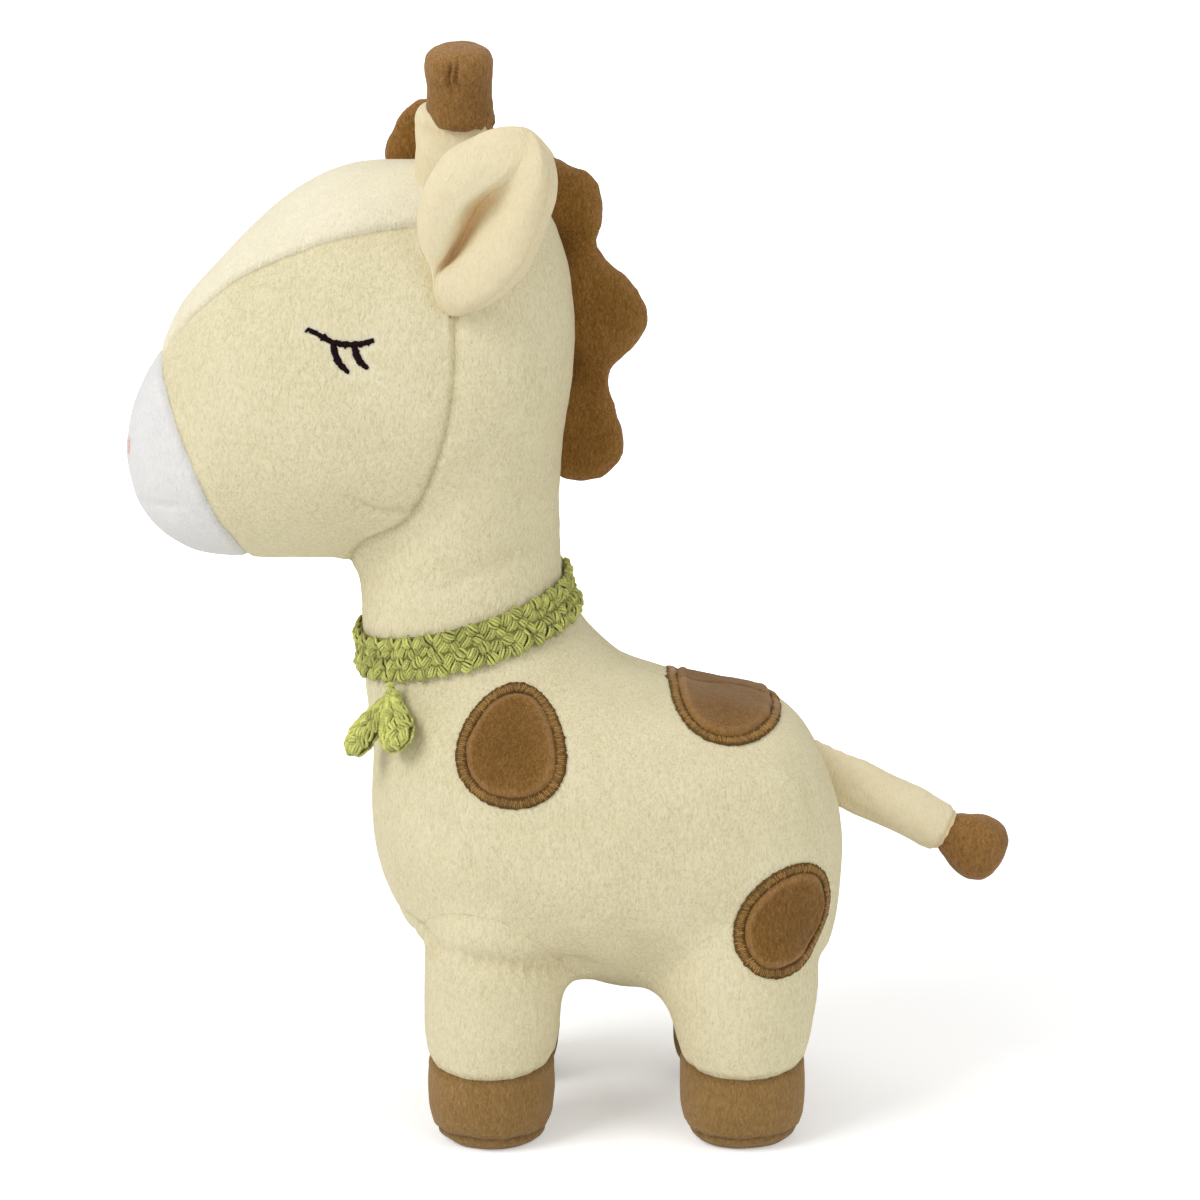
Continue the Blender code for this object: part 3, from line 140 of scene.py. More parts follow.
class ToySettings(bpy.types.PropertyGroup):
    """Sizes and colours that a maker would change."""
    seam_depth: bpy.props.FloatProperty(
        name="Seam depth", description="How deep the skin is drawn in at a seam",
        default=0.0011, unit="LENGTH")
    seam_width: bpy.props.FloatProperty(
        name="Seam width", description="Half width of the fold at a seam",
        default=0.0011, unit="LENGTH")
    skin_voxel: bpy.props.FloatProperty(
        name="Skin voxel", description="Mesh size of the stuffed body before it is refined",
        default=0.0036, unit="LENGTH")
    stuffing_swell: bpy.props.FloatProperty(
        name="Stuffing swell", description="How far the stuffing may push the skin out between seams",
        default=0.0016, unit="LENGTH")
    stuffing_pressure: bpy.props.FloatProperty(
        name="Stuffing pressure", description="Pressure of the stuffing in the cloth simulation",
        default=4.0)
    plush_thickness: bpy.props.FloatProperty(
        name="Plush thickness", description="Thickness of the plush with its pile",
        default=0.0018, unit="LENGTH")
    satin_width: bpy.props.FloatProperty(
        name="Satin width", description="Width of the satin stitch round a patch",
        default=0.0027, unit="LENGTH")
    thread_pitch: bpy.props.FloatProperty(
        name="Thread pitch", description="Distance between neighbouring satin stitches",
        default=0.00050, unit="LENGTH")
    crochet_pitch: bpy.props.FloatProperty(
        name="Crochet pitch", description="Width of one crochet stitch",
        default=0.00275, unit="LENGTH")
    cream: bpy.props.FloatVectorProperty(
        name="Cream plush", description="Colour of the body", subtype="COLOR", size=3,
        default=(0.760, 0.680, 0.430))
    pale: bpy.props.FloatVectorProperty(
        name="Pale plush", description="Colour of the forehead", subtype="COLOR", size=3,
        default=(0.860, 0.790, 0.590))
    lining: bpy.props.FloatVectorProperty(
        name="Ear plush", description="Colour of the ears, the horns' shafts and the tail's sleeve",
        subtype="COLOR", size=3, default=(0.800, 0.705, 0.465))
    white: bpy.props.FloatVectorProperty(
        name="White plush", description="Colour of the muzzle", subtype="COLOR", size=3,
        default=(0.790, 0.775, 0.760))
    brown: bpy.props.FloatVectorProperty(
        name="Brown plush", description="Colour of the horn caps and the tail's tuft",
        subtype="COLOR", size=3, default=(0.262, 0.132, 0.036))
    mane: bpy.props.FloatVectorProperty(
        name="Mane plush", description="Colour of the mane", subtype="COLOR", size=3,
        default=(0.205, 0.095, 0.016))
    patch: bpy.props.FloatVectorProperty(
        name="Patch plush", description="Colour of the patches", subtype="COLOR", size=3,
        default=(0.208, 0.102, 0.023))
    hoof: bpy.props.FloatVectorProperty(
        name="Hoof plush", description="Colour of the hooves", subtype="COLOR", size=3,
        default=(0.285, 0.165, 0.055))
    satin: bpy.props.FloatVectorProperty(
        name="Satin thread", description="Colour of the thread round the patches", subtype="COLOR",
        size=3, default=(0.315, 0.170, 0.045))
    yarn: bpy.props.FloatVectorProperty(
        name="Yarn", description="Colour of the collar", subtype="COLOR", size=3,
        default=(0.590, 0.600, 0.175))
    eye_thread: bpy.props.FloatVectorProperty(
        name="Eye thread", description="Colour of the eyes", subtype="COLOR", size=3,
        default=(0.016, 0.004, 0.007))
    nose_thread: bpy.props.FloatVectorProperty(
        name="Nostril thread", description="Colour of the nostrils", subtype="COLOR", size=3,
        default=(0.820, 0.560, 0.450))


def settings():
    return bpy.context.scene.plush_toy


def deselect():
    if bpy.context.object and bpy.context.object.mode != "OBJECT":
        bpy.ops.object.mode_set(mode="OBJECT")
    bpy.ops.object.select_all(action="DESELECT")


def make_active(obj):
    """Select one piece alone and make it the active one."""
    deselect()
    obj.select_set(True)
    bpy.context.view_layer.objects.active = obj


def apply_modifier(obj, kind, **values):
    """Add a modifier with its values and apply it."""
    make_active(obj)
    modifier = obj.modifiers.new(kind.title(), kind)
    for name, value in values.items():
        setattr(modifier, name, value)
    bpy.ops.object.modifier_apply(modifier=modifier.name)


def points_of(obj):
    flat = np.empty(len(obj.data.vertices) * 3)
    obj.data.vertices.foreach_get("co", flat)
    return flat.reshape(-1, 3)


def set_points(obj, points):
    obj.data.vertices.foreach_set("co", np.asarray(points, float).ravel())
    obj.data.update()


def normals_of(obj):
    flat = np.empty(len(obj.data.vertices) * 3)
    obj.data.vertex_normals.foreach_get("vector", flat)
    return flat.reshape(-1, 3)


def edges_of(obj):
    flat = np.empty(len(obj.data.edges) * 2, int)
    obj.data.edges.foreach_get("vertices", flat)
    return flat.reshape(-1, 2)


def store(obj, name, values):
    """Store a number on each point of a piece."""
    obj.data.attributes.new(name, "FLOAT", "POINT").data.foreach_set("value", values)


def renumbered(faces):
    """The points that some faces use, and the faces with these points numbered from 0."""
    used = np.unique(np.concatenate([np.array(face) for face in faces]))
    order = dict(zip(used.tolist(), range(len(used))))
    return used, [tuple(order[v] for v in face) for face in faces]


def new_piece(name, points, faces):
    """A mesh object at the origin."""
    mesh = bpy.data.meshes.new(name)
    mesh.from_pydata([tuple(point) for point in points], [], faces)
    obj = bpy.data.objects.new(name, mesh)
    bpy.context.scene.collection.objects.link(obj)
    return obj


def point_out(obj):
    """Recalculate the normals of a closed mesh."""
    bm = bmesh.new()
    bm.from_mesh(obj.data)
    bmesh.ops.recalc_face_normals(bm, faces=bm.faces)
    bm.to_mesh(obj.data)
    bm.free()
    return obj


def discard(*objects):
    for obj in objects:
        bpy.data.objects.remove(obj, do_unlink=True)


def finish_piece(obj, material, body, replaced=()):
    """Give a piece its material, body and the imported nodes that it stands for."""
    obj.data.materials.clear()
    obj.data.materials.append(material)
    obj.data.shade_smooth()
    if body:
        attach(obj, body)
    if replaced:
        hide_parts(*replaced)


# Forms

def spline(before, start, end, after, t):
    """Catmull-Rom value between start and end."""
    bend = 2 * before - 5 * start + 4 * end - after
    twist = 3 * start - before - 3 * end + after
    return 0.5 * (2 * start + (end - before) * t + bend * t * t + twist * t ** 3)


def curve_through(points, steps, closed=False):
    """Points of a smooth curve through the given ones."""
    points = [np.array(point, float) for point in points]
    last = len(points) - 1
    curve = []
    for i in range(last + closed):
        around = [points[(i + k) % (last + 1)] if closed else points[min(max(i + k, 0), last)]
                  for k in (-1, 0, 1, 2)]
        curve += [spline(*around, step / steps) for step in range(steps)]
    if not closed:
        curve.append(points[-1])
    return np.array(curve)


def smooth_rows(shares, steps):
    """Rows of place, middle, half height and half width, rounded off at the two poles."""
    table = np.array([(place, (low + high) / 2, ((high - low) / 2) ** 2, (width / 2) ** 2)
                      for place, low, high, width in shares])
    last = len(table) - 1
    rows = []
    for i in range(last):
        for step in range(steps):
            t = step / steps
            if i == 0:
                t = t * t
            if i == last - 1:
                t = 1 - (1 - t) ** 2
            around = [table[min(max(i + k, 0), last)] for k in (-1, 0, 1, 2)]
            rows.append(spline(*around, t))
    rows.append(table[-1])
    rows = np.array(rows)
    rows[:, 2:] = np.sqrt(np.maximum(rows[:, 2:], 0))
    return rows


def section(count, fullness):
    """Directions round a section: 2 is an ellipse, more is squarer."""
    turn = 2 * np.pi * (np.arange(count) + 0.5) / count
    rounded = [np.sign(wave) * np.abs(wave) ** (2 / fullness) for wave in (np.cos(turn), np.sin(turn))]
    return np.stack(rounded, axis=1)


def loft(name, rings):
    """A closed form through rings; the first and last ring shrink to poles where they have no size."""
    points, layers, faces = [], [], []
    for ring in rings:
        ring = np.asarray(ring, float)
        pole = np.ptp(ring, axis=0).max() < 1e-9
        ring = ring[:1] if pole else ring
        layers.append(range(len(points), len(points) + len(ring)))
        points += list(ring)
    for lower, upper in zip(layers, layers[1:]):
        count = max(len(lower), len(upper))
        for i in range(count):
            j = (i + 1) % count
            corners = [lower[i % len(lower)], lower[j % len(lower)],
                       upper[j % len(upper)], upper[i % len(upper)]]
            faces.append(tuple(dict.fromkeys(corners)))
    for layer in (layers[0], layers[-1]):
        if len(layer) > 1:
            faces.append(tuple(layer))
    return point_out(new_piece(name, points, faces))


def lying_form(name, shares, front, length, base, height, width, fullness):
    """A form along X from rows of height and width."""
    around = section(64, fullness)
    rings = []
    for place, middle, half_height, half_width in smooth_rows(shares, 5):
        ring = np.empty((len(around), 3))
        ring[:, 0] = front + place * length
        ring[:, 1] = around[:, 0] * half_width * width
        ring[:, 2] = base + middle * height + around[:, 1] * half_height * height
        rings.append(ring)
    return loft(name, rings)


def standing_form(name, shares, base, height, front, depth, width, fullness, y=0.0):
    """A form along Z from rows of depth and width."""
    around = section(64, fullness)
    rings = []
    for place, middle, half_depth, half_width in smooth_rows(shares, 5):
        ring = np.empty((len(around), 3))
        ring[:, 0] = front + middle * depth + around[:, 0] * half_depth * depth
        ring[:, 1] = y + around[:, 1] * half_width * width
        ring[:, 2] = base + place * height
        rings.append(ring)
    return loft(name, rings)


def leg_form(end, side):
    """A leg and its hoof down to the floor."""
    rows = [(place, 0.5 - wide / 2, 0.5 + wide / 2, wide) for place, wide in LEG_RING_SHARES]
    return standing_form("leg", rows, 0.0, LEG_TOP_Z, LEG_XS[end] - LEG_WIDTH / 2, LEG_WIDTH, LEG_WIDTH,
                         2.0, side * LEG_Y)


def join(name, pieces):
    make_active(pieces[0])
    for piece in pieces:
        piece.select_set(True)
    bpy.ops.object.join()
    pieces[0].name = name
    return pieces[0]


def relax(obj, rounds):
    """Smooth a mesh without shrinking it."""
    points, edges = points_of(obj), edges_of(obj)
    count = np.bincount(edges.ravel(), minlength=len(points))[:, None]
    for _ in range(rounds):
        for factor in (0.50, -0.52):
            total = np.zeros_like(points)
            for axis in range(3):
                total[:, axis] += np.bincount(edges[:, 0], points[edges[:, 1], axis], len(points))
                total[:, axis] += np.bincount(edges[:, 1], points[edges[:, 0], axis], len(points))
            points += factor * (total / count - points)
    set_points(obj, points)


# The simulation is short because its rise is capped; without it the rise grows over this reach
SIMULATED_FRAMES, SIMULATION_QUALITY, PLAIN_RISE_REACH = 15, 4, 0.006


def swell(obj, held, rise):
    """Blow a stuffed form up between its seams by a short cloth simulation, at most by the rise."""
    rest = points_of(obj)
    group = obj.vertex_groups.new(name="held")
    group.add([int(i) for i in held], 1.0, "REPLACE")
    make_active(obj)
    cloth = obj.modifiers.new("Cloth", "CLOTH")
    cloth.settings.vertex_group_mass = "held"
    cloth.settings.use_pressure = True
    cloth.settings.uniform_pressure_force = settings().stuffing_pressure
    cloth.settings.effector_weights.gravity = 0
    cloth.settings.quality = SIMULATION_QUALITY
    scene = bpy.context.scene
    for number in range(1, SIMULATED_FRAMES + 1):
        scene.frame_set(number)
    bpy.ops.object.modifier_apply(modifier=cloth.name)
    scene.frame_set(1)
    obj.vertex_groups.clear()
    moved = points_of(obj) - rest
    size = np.linalg.norm(moved, axis=1, keepdims=True)
    set_points(obj, rest + moved * np.minimum(1, rise / np.maximum(size, 1e-9)))


def distance_to(points, marks):
    """Distance of each point to the nearest mark."""
    tree = KDTree(len(marks))
    for i, mark in enumerate(marks):
        tree.insert(mark, i)
    tree.balance()
    return np.array([tree.find(point)[2] for point in points])


# Seams

def line_field(shares, along_z):
    """A field that is 0 on a seam line of the head, below 0 in front of it or under it."""
    line = curve_through(shares, 8) * (HEAD_LENGTH, HEAD_HEIGHT) + (HEAD_FRONT_X, HEAD_BASE_Z)
    if along_z:
        line = line[np.argsort(line[:, 1])]
        return lambda p: p[:, 0] - np.interp(p[:, 2], line[:, 1], line[:, 0])
    line = line[np.argsort(line[:, 0])]
    return lambda p: p[:, 2] - np.interp(p[:, 0], line[:, 0], line[:, 1])


CHEEK = line_field(CHEEK_SEAM_SHARES, True)
FOREHEAD = line_field(FOREHEAD_SEAM_SHARES, False)
MUZZLE = line_field(MUZZLE_SEAM_SHARES, True)
TORSO_ROWS = smooth_rows(TORSO_ROW_SHARES, 5)


def collar_height(x, y):
    """Height of the collar's middle line at a place round the neck."""
    along = (x - NECK_FRONT_X) / NECK_DEPTH
    lean = y / (NECK_WIDTH / 2)
    return COLLAR_FRONT_Z + along * (COLLAR_BACK_Z - COLLAR_FRONT_Z) + lean * COLLAR_SIDE_DROP


def collar_field(p):
    return p[:, 2] - collar_height(p[:, 0], p[:, 1])


def hoof_field(p):
    """Above 0 over the seam between leg and hoof, which dips on the outer side."""
    outward = np.clip((np.abs(p[:, 1]) - LEG_Y) / (LEG_WIDTH / 2), -0.3, 1)
    return p[:, 2] - (HOOF_TOP_Z - HOOF_SEAM_DIP * outward)


def sole_field(p):
    return p[:, 2] - SOLE_SEAM_Z


def torso_field(p):
    """Above 0 outside the torso, as a share of its size."""
    p = p - body_push(p)
    place = (p[:, 0] - TORSO_FRONT_X) / TORSO_LENGTH
    middle, high, wide = (np.interp(place, TORSO_ROWS[:, 0], TORSO_ROWS[:, k]) for k in (1, 2, 3))
    up = np.abs((p[:, 2] - TORSO_BASE_Z) / TORSO_HEIGHT - middle) / np.maximum(high, 1e-4)
    out = np.abs(p[:, 1]) / TORSO_WIDTH / np.maximum(wide, 1e-4)
    return (up ** TORSO_FULLNESS + out ** TORSO_FULLNESS) ** (1 / TORSO_FULLNESS) - 1.02


def side_field(p):
    return p[:, 1]


def belly_field(p):
    """Below 0 in the strip between the legs."""
    across = np.abs(p[:, 1]) - BELLY_HALF_WIDTH
    along = np.maximum(BELLY_FRONT_X - p[:, 0], p[:, 0] - BELLY_BACK_X)
    return np.maximum(np.maximum(across, along), p[:, 2] - BELLY_TOP_Z)


# Creases in the side view: their line, half width and depth
SIDE_CREASES = [
    (((-0.0562, 0.1721), (-0.0516, 0.1685), (-0.0450, 0.1674), (-0.0405, 0.1690)), 0.0012, 0.0013),
    (((-0.0778, 0.1871), (-0.0753, 0.1841)), 0.0010, 0.0006),
    (((-0.1124, 0.1688), (-0.1060, 0.1683), (-0.0997, 0.1688)), 0.0011, 0.0006),
    (((-0.0480, 0.0600), (-0.0380, 0.0545), (-0.0200, 0.0520), (-0.0010, 0.0490), (0.0040, 0.0475)),
     0.0031, 0.0034),
    (((-0.0440, 0.0960), (-0.0400, 0.0900), (-0.0330, 0.0850)), 0.0045, 0.0016),
    (((0.0150, 0.0600), (0.0190, 0.0520), (0.0210, 0.0430)), 0.0035, 0.0010),
    (((0.0600, 0.1000), (0.0640, 0.0920), (0.0650, 0.0830)), 0.0035, 0.0010),
    (((-0.0330, 0.1490), (-0.0200, 0.1520), (-0.0080, 0.1590)), 0.0045, 0.0010),
]

# Where the body sags or is flatter than its form: centre, reach and how far it moves
BODY_PUSHES = [
    ((0.0200, 0.0, 0.0420), 0.0130, (-0.0010, 0.0, -0.0054)),
    ((0.0040, 0.0, 0.0420), 0.0130, (0.0, 0.0, -0.0026)),
    ((0.0250, -LEG_Y, 0.0430), 0.0080, (-0.0030, 0.0, -0.0018)),
    ((0.0250, LEG_Y, 0.0430), 0.0080, (-0.0030, 0.0, -0.0018)),
    ((-0.0760, 0.0, 0.2500), 0.0150, (0.0004, 0.0, -0.0008)),
    ((-0.1040, 0.0, 0.2200), 0.0110, (-0.0016, 0.0, 0.0010)),
    ((0.0350, 0.0, 0.1290), 0.0180, (0.0, 0.0, -0.0036)),
    ((-0.0030, 0.0, 0.1580), 0.0150, (0.0014, 0.0, 0.0)),
    ((-0.0570, 0.0, 0.1580), 0.0130, (-0.0009, 0.0, 0.0)),
    ((0.0660, -LEG_Y, 0.0430), 0.0085, (0.0019, 0.0, 0.0)),
    ((0.0660, LEG_Y, 0.0430), 0.0085, (0.0019, 0.0, 0.0)),
    ((0.0745, 0.0, 0.0580), 0.0120, (-0.0004, 0.0, 0.0)),
]
# A push reaches further across the body than along or up it
PUSH_STRETCH = (1, 0.55, 1)


def body_push(p):
    """How far the body is moved at each place."""
    moved = np.zeros_like(p)
    for centre, reach, push in BODY_PUSHES:
        near = np.linalg.norm((p - centre) * PUSH_STRETCH, axis=1) / reach
        moved += np.outer(np.exp(-near ** 2), push)
    return moved


def on_form(obj, origin, direction):
    """Where a ray meets a piece."""
    met, place = obj.ray_cast(Vector(origin), Vector(direction))[:2]
    if not met:
        place = obj.closest_point_on_mesh(Vector(origin))[1]
    return tuple(place)


BODY_FIELDS = [
    side_field, collar_field, CHEEK, FOREHEAD, MUZZLE, torso_field, belly_field, hoof_field, sole_field,
]


def body_panel(p):
    """Name of the panel of the skin that each point lies in."""
    side = np.where(p[:, 1] < 0, "_left", "_right")
    end = np.where(p[:, 0] < (LEG_XS["front"] + LEG_XS["rear"]) / 2, "_front", "_rear")
    leg = (torso_field(p) > 0) & (p[:, 2] < LEG_TOP_Z)
    on_hoof = hoof_field(p) < 0
    on_sole = sole_field(p) < 0
    above = collar_field(p) > 0
    face = above & (CHEEK(p) < 0)
    muzzle = face & (MUZZLE(p) < 0)
    forehead = face & (FOREHEAD(p) > 0)
    belly = (belly_field(p) < 0) & ~leg
    kind = np.select([muzzle, forehead, face, above, on_sole, on_hoof, leg, belly],
                     ["muzzle_cover", "forehead_panel", "face_cover", "neck_cover", "sole", "hoof_cover",
                      "leg_cover", "belly_panel"], "torso_cover")
    single = np.isin(kind, ["muzzle_cover", "forehead_panel", "belly_panel"])
    on_leg = np.isin(kind, ["sole", "hoof_cover", "leg_cover"])
    return np.where(single, kind, np.char.add(np.char.add(kind, np.where(on_leg, end, "")), side))


# How strongly a leg's upper edge and the seam along the back draw the skin in
LEG_EDGE_DEPTH, BACK_SEAM_DEPTH = 0.12, 0.55


def seam_depth(first, second):
    """How strongly the seam between two panels draws the skin in and darkens it with painted shade."""
    names = first + second
    if "leg_cover_rear" in names and "torso" in names:
        return 0.0
    if "leg_cover" in names and ("torso" in names or "belly" in names):
        return LEG_EDGE_DEPTH
    if "torso_cover_left" in names and "torso_cover_right" in names:
        return BACK_SEAM_DEPTH
    return 1.0


def refine_near(obj, name_of, reach):
    """Halve the faces near the lines where the panel name changes."""
    points, edges = points_of(obj), edges_of(obj)
    names = name_of(points)
    crossing = names[edges[:, 0]] != names[edges[:, 1]]
    near = distance_to(points, points[edges[crossing]].mean(axis=1)) < reach
    bm = bmesh.new()
    bm.from_mesh(obj.data)
    cut = [edge for edge, (a, b) in zip(bm.edges, edges) if near[a] or near[b]]
    bmesh.ops.subdivide_edges(bm, edges=cut, cuts=1, use_grid_fill=True)
    bm.to_mesh(obj.data)
    bm.free()


# A crossing nearer to an edge's end than this share moves that end instead of splitting the edge
NEAR_END = 0.22


def cut_lines(obj, fields, name_of):
    """Put edges along the seam lines, where a field crosses 0 between two panels."""
    bm = bmesh.new()
    bm.from_mesh(obj.data)
    for field in fields:
        bm.verts.index_update()
        bm.verts.ensure_lookup_table()
        points = np.array([vert.co[:] for vert in bm.verts])
        values, names = field(points), name_of(points)
        on_line = {}
        for edge in bm.edges:
            a, b = edge.verts[0].index, edge.verts[1].index
            if values[a] * values[b] < 0 and names[a] != names[b]:
                share = values[a] / (values[a] - values[b])
                if share < NEAR_END or share > 1 - NEAR_END:
                    near = a if share < 0.5 else b
                    on_line.setdefault(near, points[a] + (points[b] - points[a]) * share)
        for near, place in on_line.items():
            bm.verts[near].co = place
            values[near] = 0.0
        added = [bm.verts[near] for near in on_line]
        for edge in list(bm.edges):
            a, b = edge.verts[0].index, edge.verts[1].index
            if values[a] * values[b] < 0 and names[a] != names[b]:
                share = values[a] / (values[a] - values[b])
                added.append(bmesh.utils.edge_split(edge, edge.verts[0], share)[1])
        bmesh.ops.connect_verts(bm, verts=added)
    bmesh.ops.triangulate(bm, faces=[face for face in bm.faces if len(face.verts) > 4])
    bm.to_mesh(obj.data)
    bm.free()


def face_names(obj, name_of):
    flat = np.empty(len(obj.data.polygons) * 3)
    obj.data.polygons.foreach_get("center", flat)
    return name_of(flat.reshape(-1, 3))


def seam_points(obj, names, depth_of):
    """Middles and ends of the edges between panels, and how deep each is."""
    bm = bmesh.new()
    bm.from_mesh(obj.data)
    places, depths = [], []
    for edge in bm.edges:
        linked = [names[face.index] for face in edge.link_faces]
        if len(linked) == 2 and linked[0] != linked[1]:
            start, end = edge.verts[0].co, edge.verts[1].co
            places += [start[:], ((start + end) / 2)[:], end[:]]
            depths += [depth_of(*linked)] * 3
    bm.free()
    return np.array(places), np.array(depths)


# Beside the stitches a seam's fold is this many times wider, with puckers of this size in metres
FOLD_SPREAD, PUCKER_SIZE = 4.5, 0.0035


def draw_in_seams(obj, places, depths):
    """Draw the skin in along its seams and store how near each point is to one, which the pile paints as
    shade in the seam's fold.
    """
    tree = KDTree(len(places))
    for i, place in enumerate(places):
        tree.insert(place, i)
    tree.balance()
    points, normals = points_of(obj), normals_of(obj)
    width, depth = settings().seam_width, settings().seam_depth
    found = [tree.find(point)[1:] for point in points]
    strength = np.array([depths[i] for i, _ in found])
    away = np.array([distance for _, distance in found])
    narrow = np.exp(-(away / width) ** 2)
    wide = np.exp(-(away / (FOLD_SPREAD * width)) ** 2)
    pucker = np.array([noise(Vector(place) / PUCKER_SIZE) for place in points])
    drop = depth * strength * (0.75 * narrow + (0.45 + 0.35 * pucker) * wide)
    set_points(obj, points - normals * drop[:, None])
    # Painted shade: the stored nearness darkens the pile in each seam's fold.
    store(obj, "seam", narrow * strength)


def ripple(obj, waves):
    """Move a skin in and out by smooth noise, given as size and height of each wave."""
    points, normals = points_of(obj), normals_of(obj)
    for size, height in waves:
        rise = np.array([noise(Vector(point) / size) for point in points])
        points = points + normals * (rise * height)[:, None]
    set_points(obj, points)


def split_panels(obj, names, thickness):
    """Make each panel an object of its own, one cloth thick, with the painted shade and light stored on its
    points.
    """
    stored = np.empty(len(obj.data.vertices))
    obj.data.attributes["seam"].data.foreach_get("value", stored)
    outer = points_of(obj)
    inner = outer - normals_of(obj) * thickness
    faces = [tuple(face.vertices) for face in obj.data.polygons]
    panels = {}
    for name in np.unique(names):
        used, front = renumbered([faces[i] for i in np.flatnonzero(names == name)])
        runs = {(face[i - 1], face[i]) for face in front for i in range(len(face))}
        count = len(used)
        rim = [(b, a, a + count, b + count) for a, b in runs if (b, a) not in runs]
        back = [tuple(v + count for v in reversed(face)) for face in front]
        points = np.concatenate([outer[used], inner[used]])
        panel = new_piece("skin_" + str(name), points, front + back + sorted(rim))
        store(panel, "seam", np.tile(stored[used], 2))
        panels[str(name)] = panel
    return panels


def thicken(obj, thickness):
    """Give an open piece its thickness, inwards."""
    apply_modifier(obj, "SOLIDIFY", thickness=thickness, offset=-1.0)


# Materials

def feed(tree, node, inputs):
    """Give each named input of a node its value, or link it to the output that drives it."""
    for name, value in inputs.items():
        if isinstance(value, bpy.types.NodeSocket):
            tree.links.new(value, node.inputs[name])
        else:
            node.inputs[name].default_value = value


def add_node(tree, kind, inputs, **choices):
    """A shader node with its choices set and its inputs fed."""
    node = tree.nodes.new("ShaderNode" + kind)
    for name, choice in choices.items():
        setattr(node, name, choice)
    feed(tree, node, inputs)
    return node


def group_of(name, inputs, outputs):
    """A shader node group with named sockets, with what its input node gives and its output node."""
    tree = bpy.data.node_groups.new(name, "ShaderNodeTree")
    kinds = {"COLOR": "NodeSocketColor", "VALUE": "NodeSocketFloat", "VECTOR": "NodeSocketVector"}
    for label, kind, default in inputs:
        socket = tree.interface.new_socket(label, in_out="INPUT", socket_type=kinds[kind])
        if default is not None:
            socket.default_value = default
    for label, kind in outputs:
        tree.interface.new_socket(label, in_out="OUTPUT", socket_type=kinds[kind])
    return tree, tree.nodes.new("NodeGroupInput").outputs, tree.nodes.new("NodeGroupOutput")


def noise_node(tree, place, scale, detail, roughness=0.5, output="Fac"):
    return add_node(tree, "TexNoise", {"Vector": place, "Scale": scale, "Detail": detail,
                                       "Roughness": roughness}).outputs[output]


def math_node(tree, operation, first, second):
    return add_node(tree, "Math", {0: first, 1: second}, operation=operation).outputs[0]


def range_node(tree, value, low, high, to_low, to_high):
    return add_node(tree, "MapRange", {"Value": value, "From Min": low, "From Max": high,
                                       "To Min": to_low, "To Max": to_high}).outputs["Result"]


def mix_node(tree, share, first, second):
    """A colour between two, by a share that is held between 0 and 1."""
    return add_node(tree, "Mix", {"Factor": share, "A": first, "B": second},
                    data_type="RGBA").outputs["Result"]


def new_material(name):
    """A material with its nodes and its shader."""
    material = bpy.data.materials.new(name)
    material.use_nodes = True
    return material, material.node_tree, material.node_tree.nodes["Principled BSDF"]


def attribute_node(tree, name):
    return add_node(tree, "Attribute", {}, attribute_name=name).outputs["Fac"]


def object_place(tree):
    return tree.nodes.new("ShaderNodeTexCoord").outputs["Object"]


def seen_directly(tree):
    """1 where the camera sees a thing, also in a gloss or through something clear."""
    path = tree.nodes.new("ShaderNodeLightPath")
    seen = math_node(tree, "MAXIMUM", path.outputs["Is Camera Ray"], path.outputs["Is Glossy Ray"])
    return math_node(tree, "MAXIMUM", seen, path.outputs["Is Transmission Ray"])


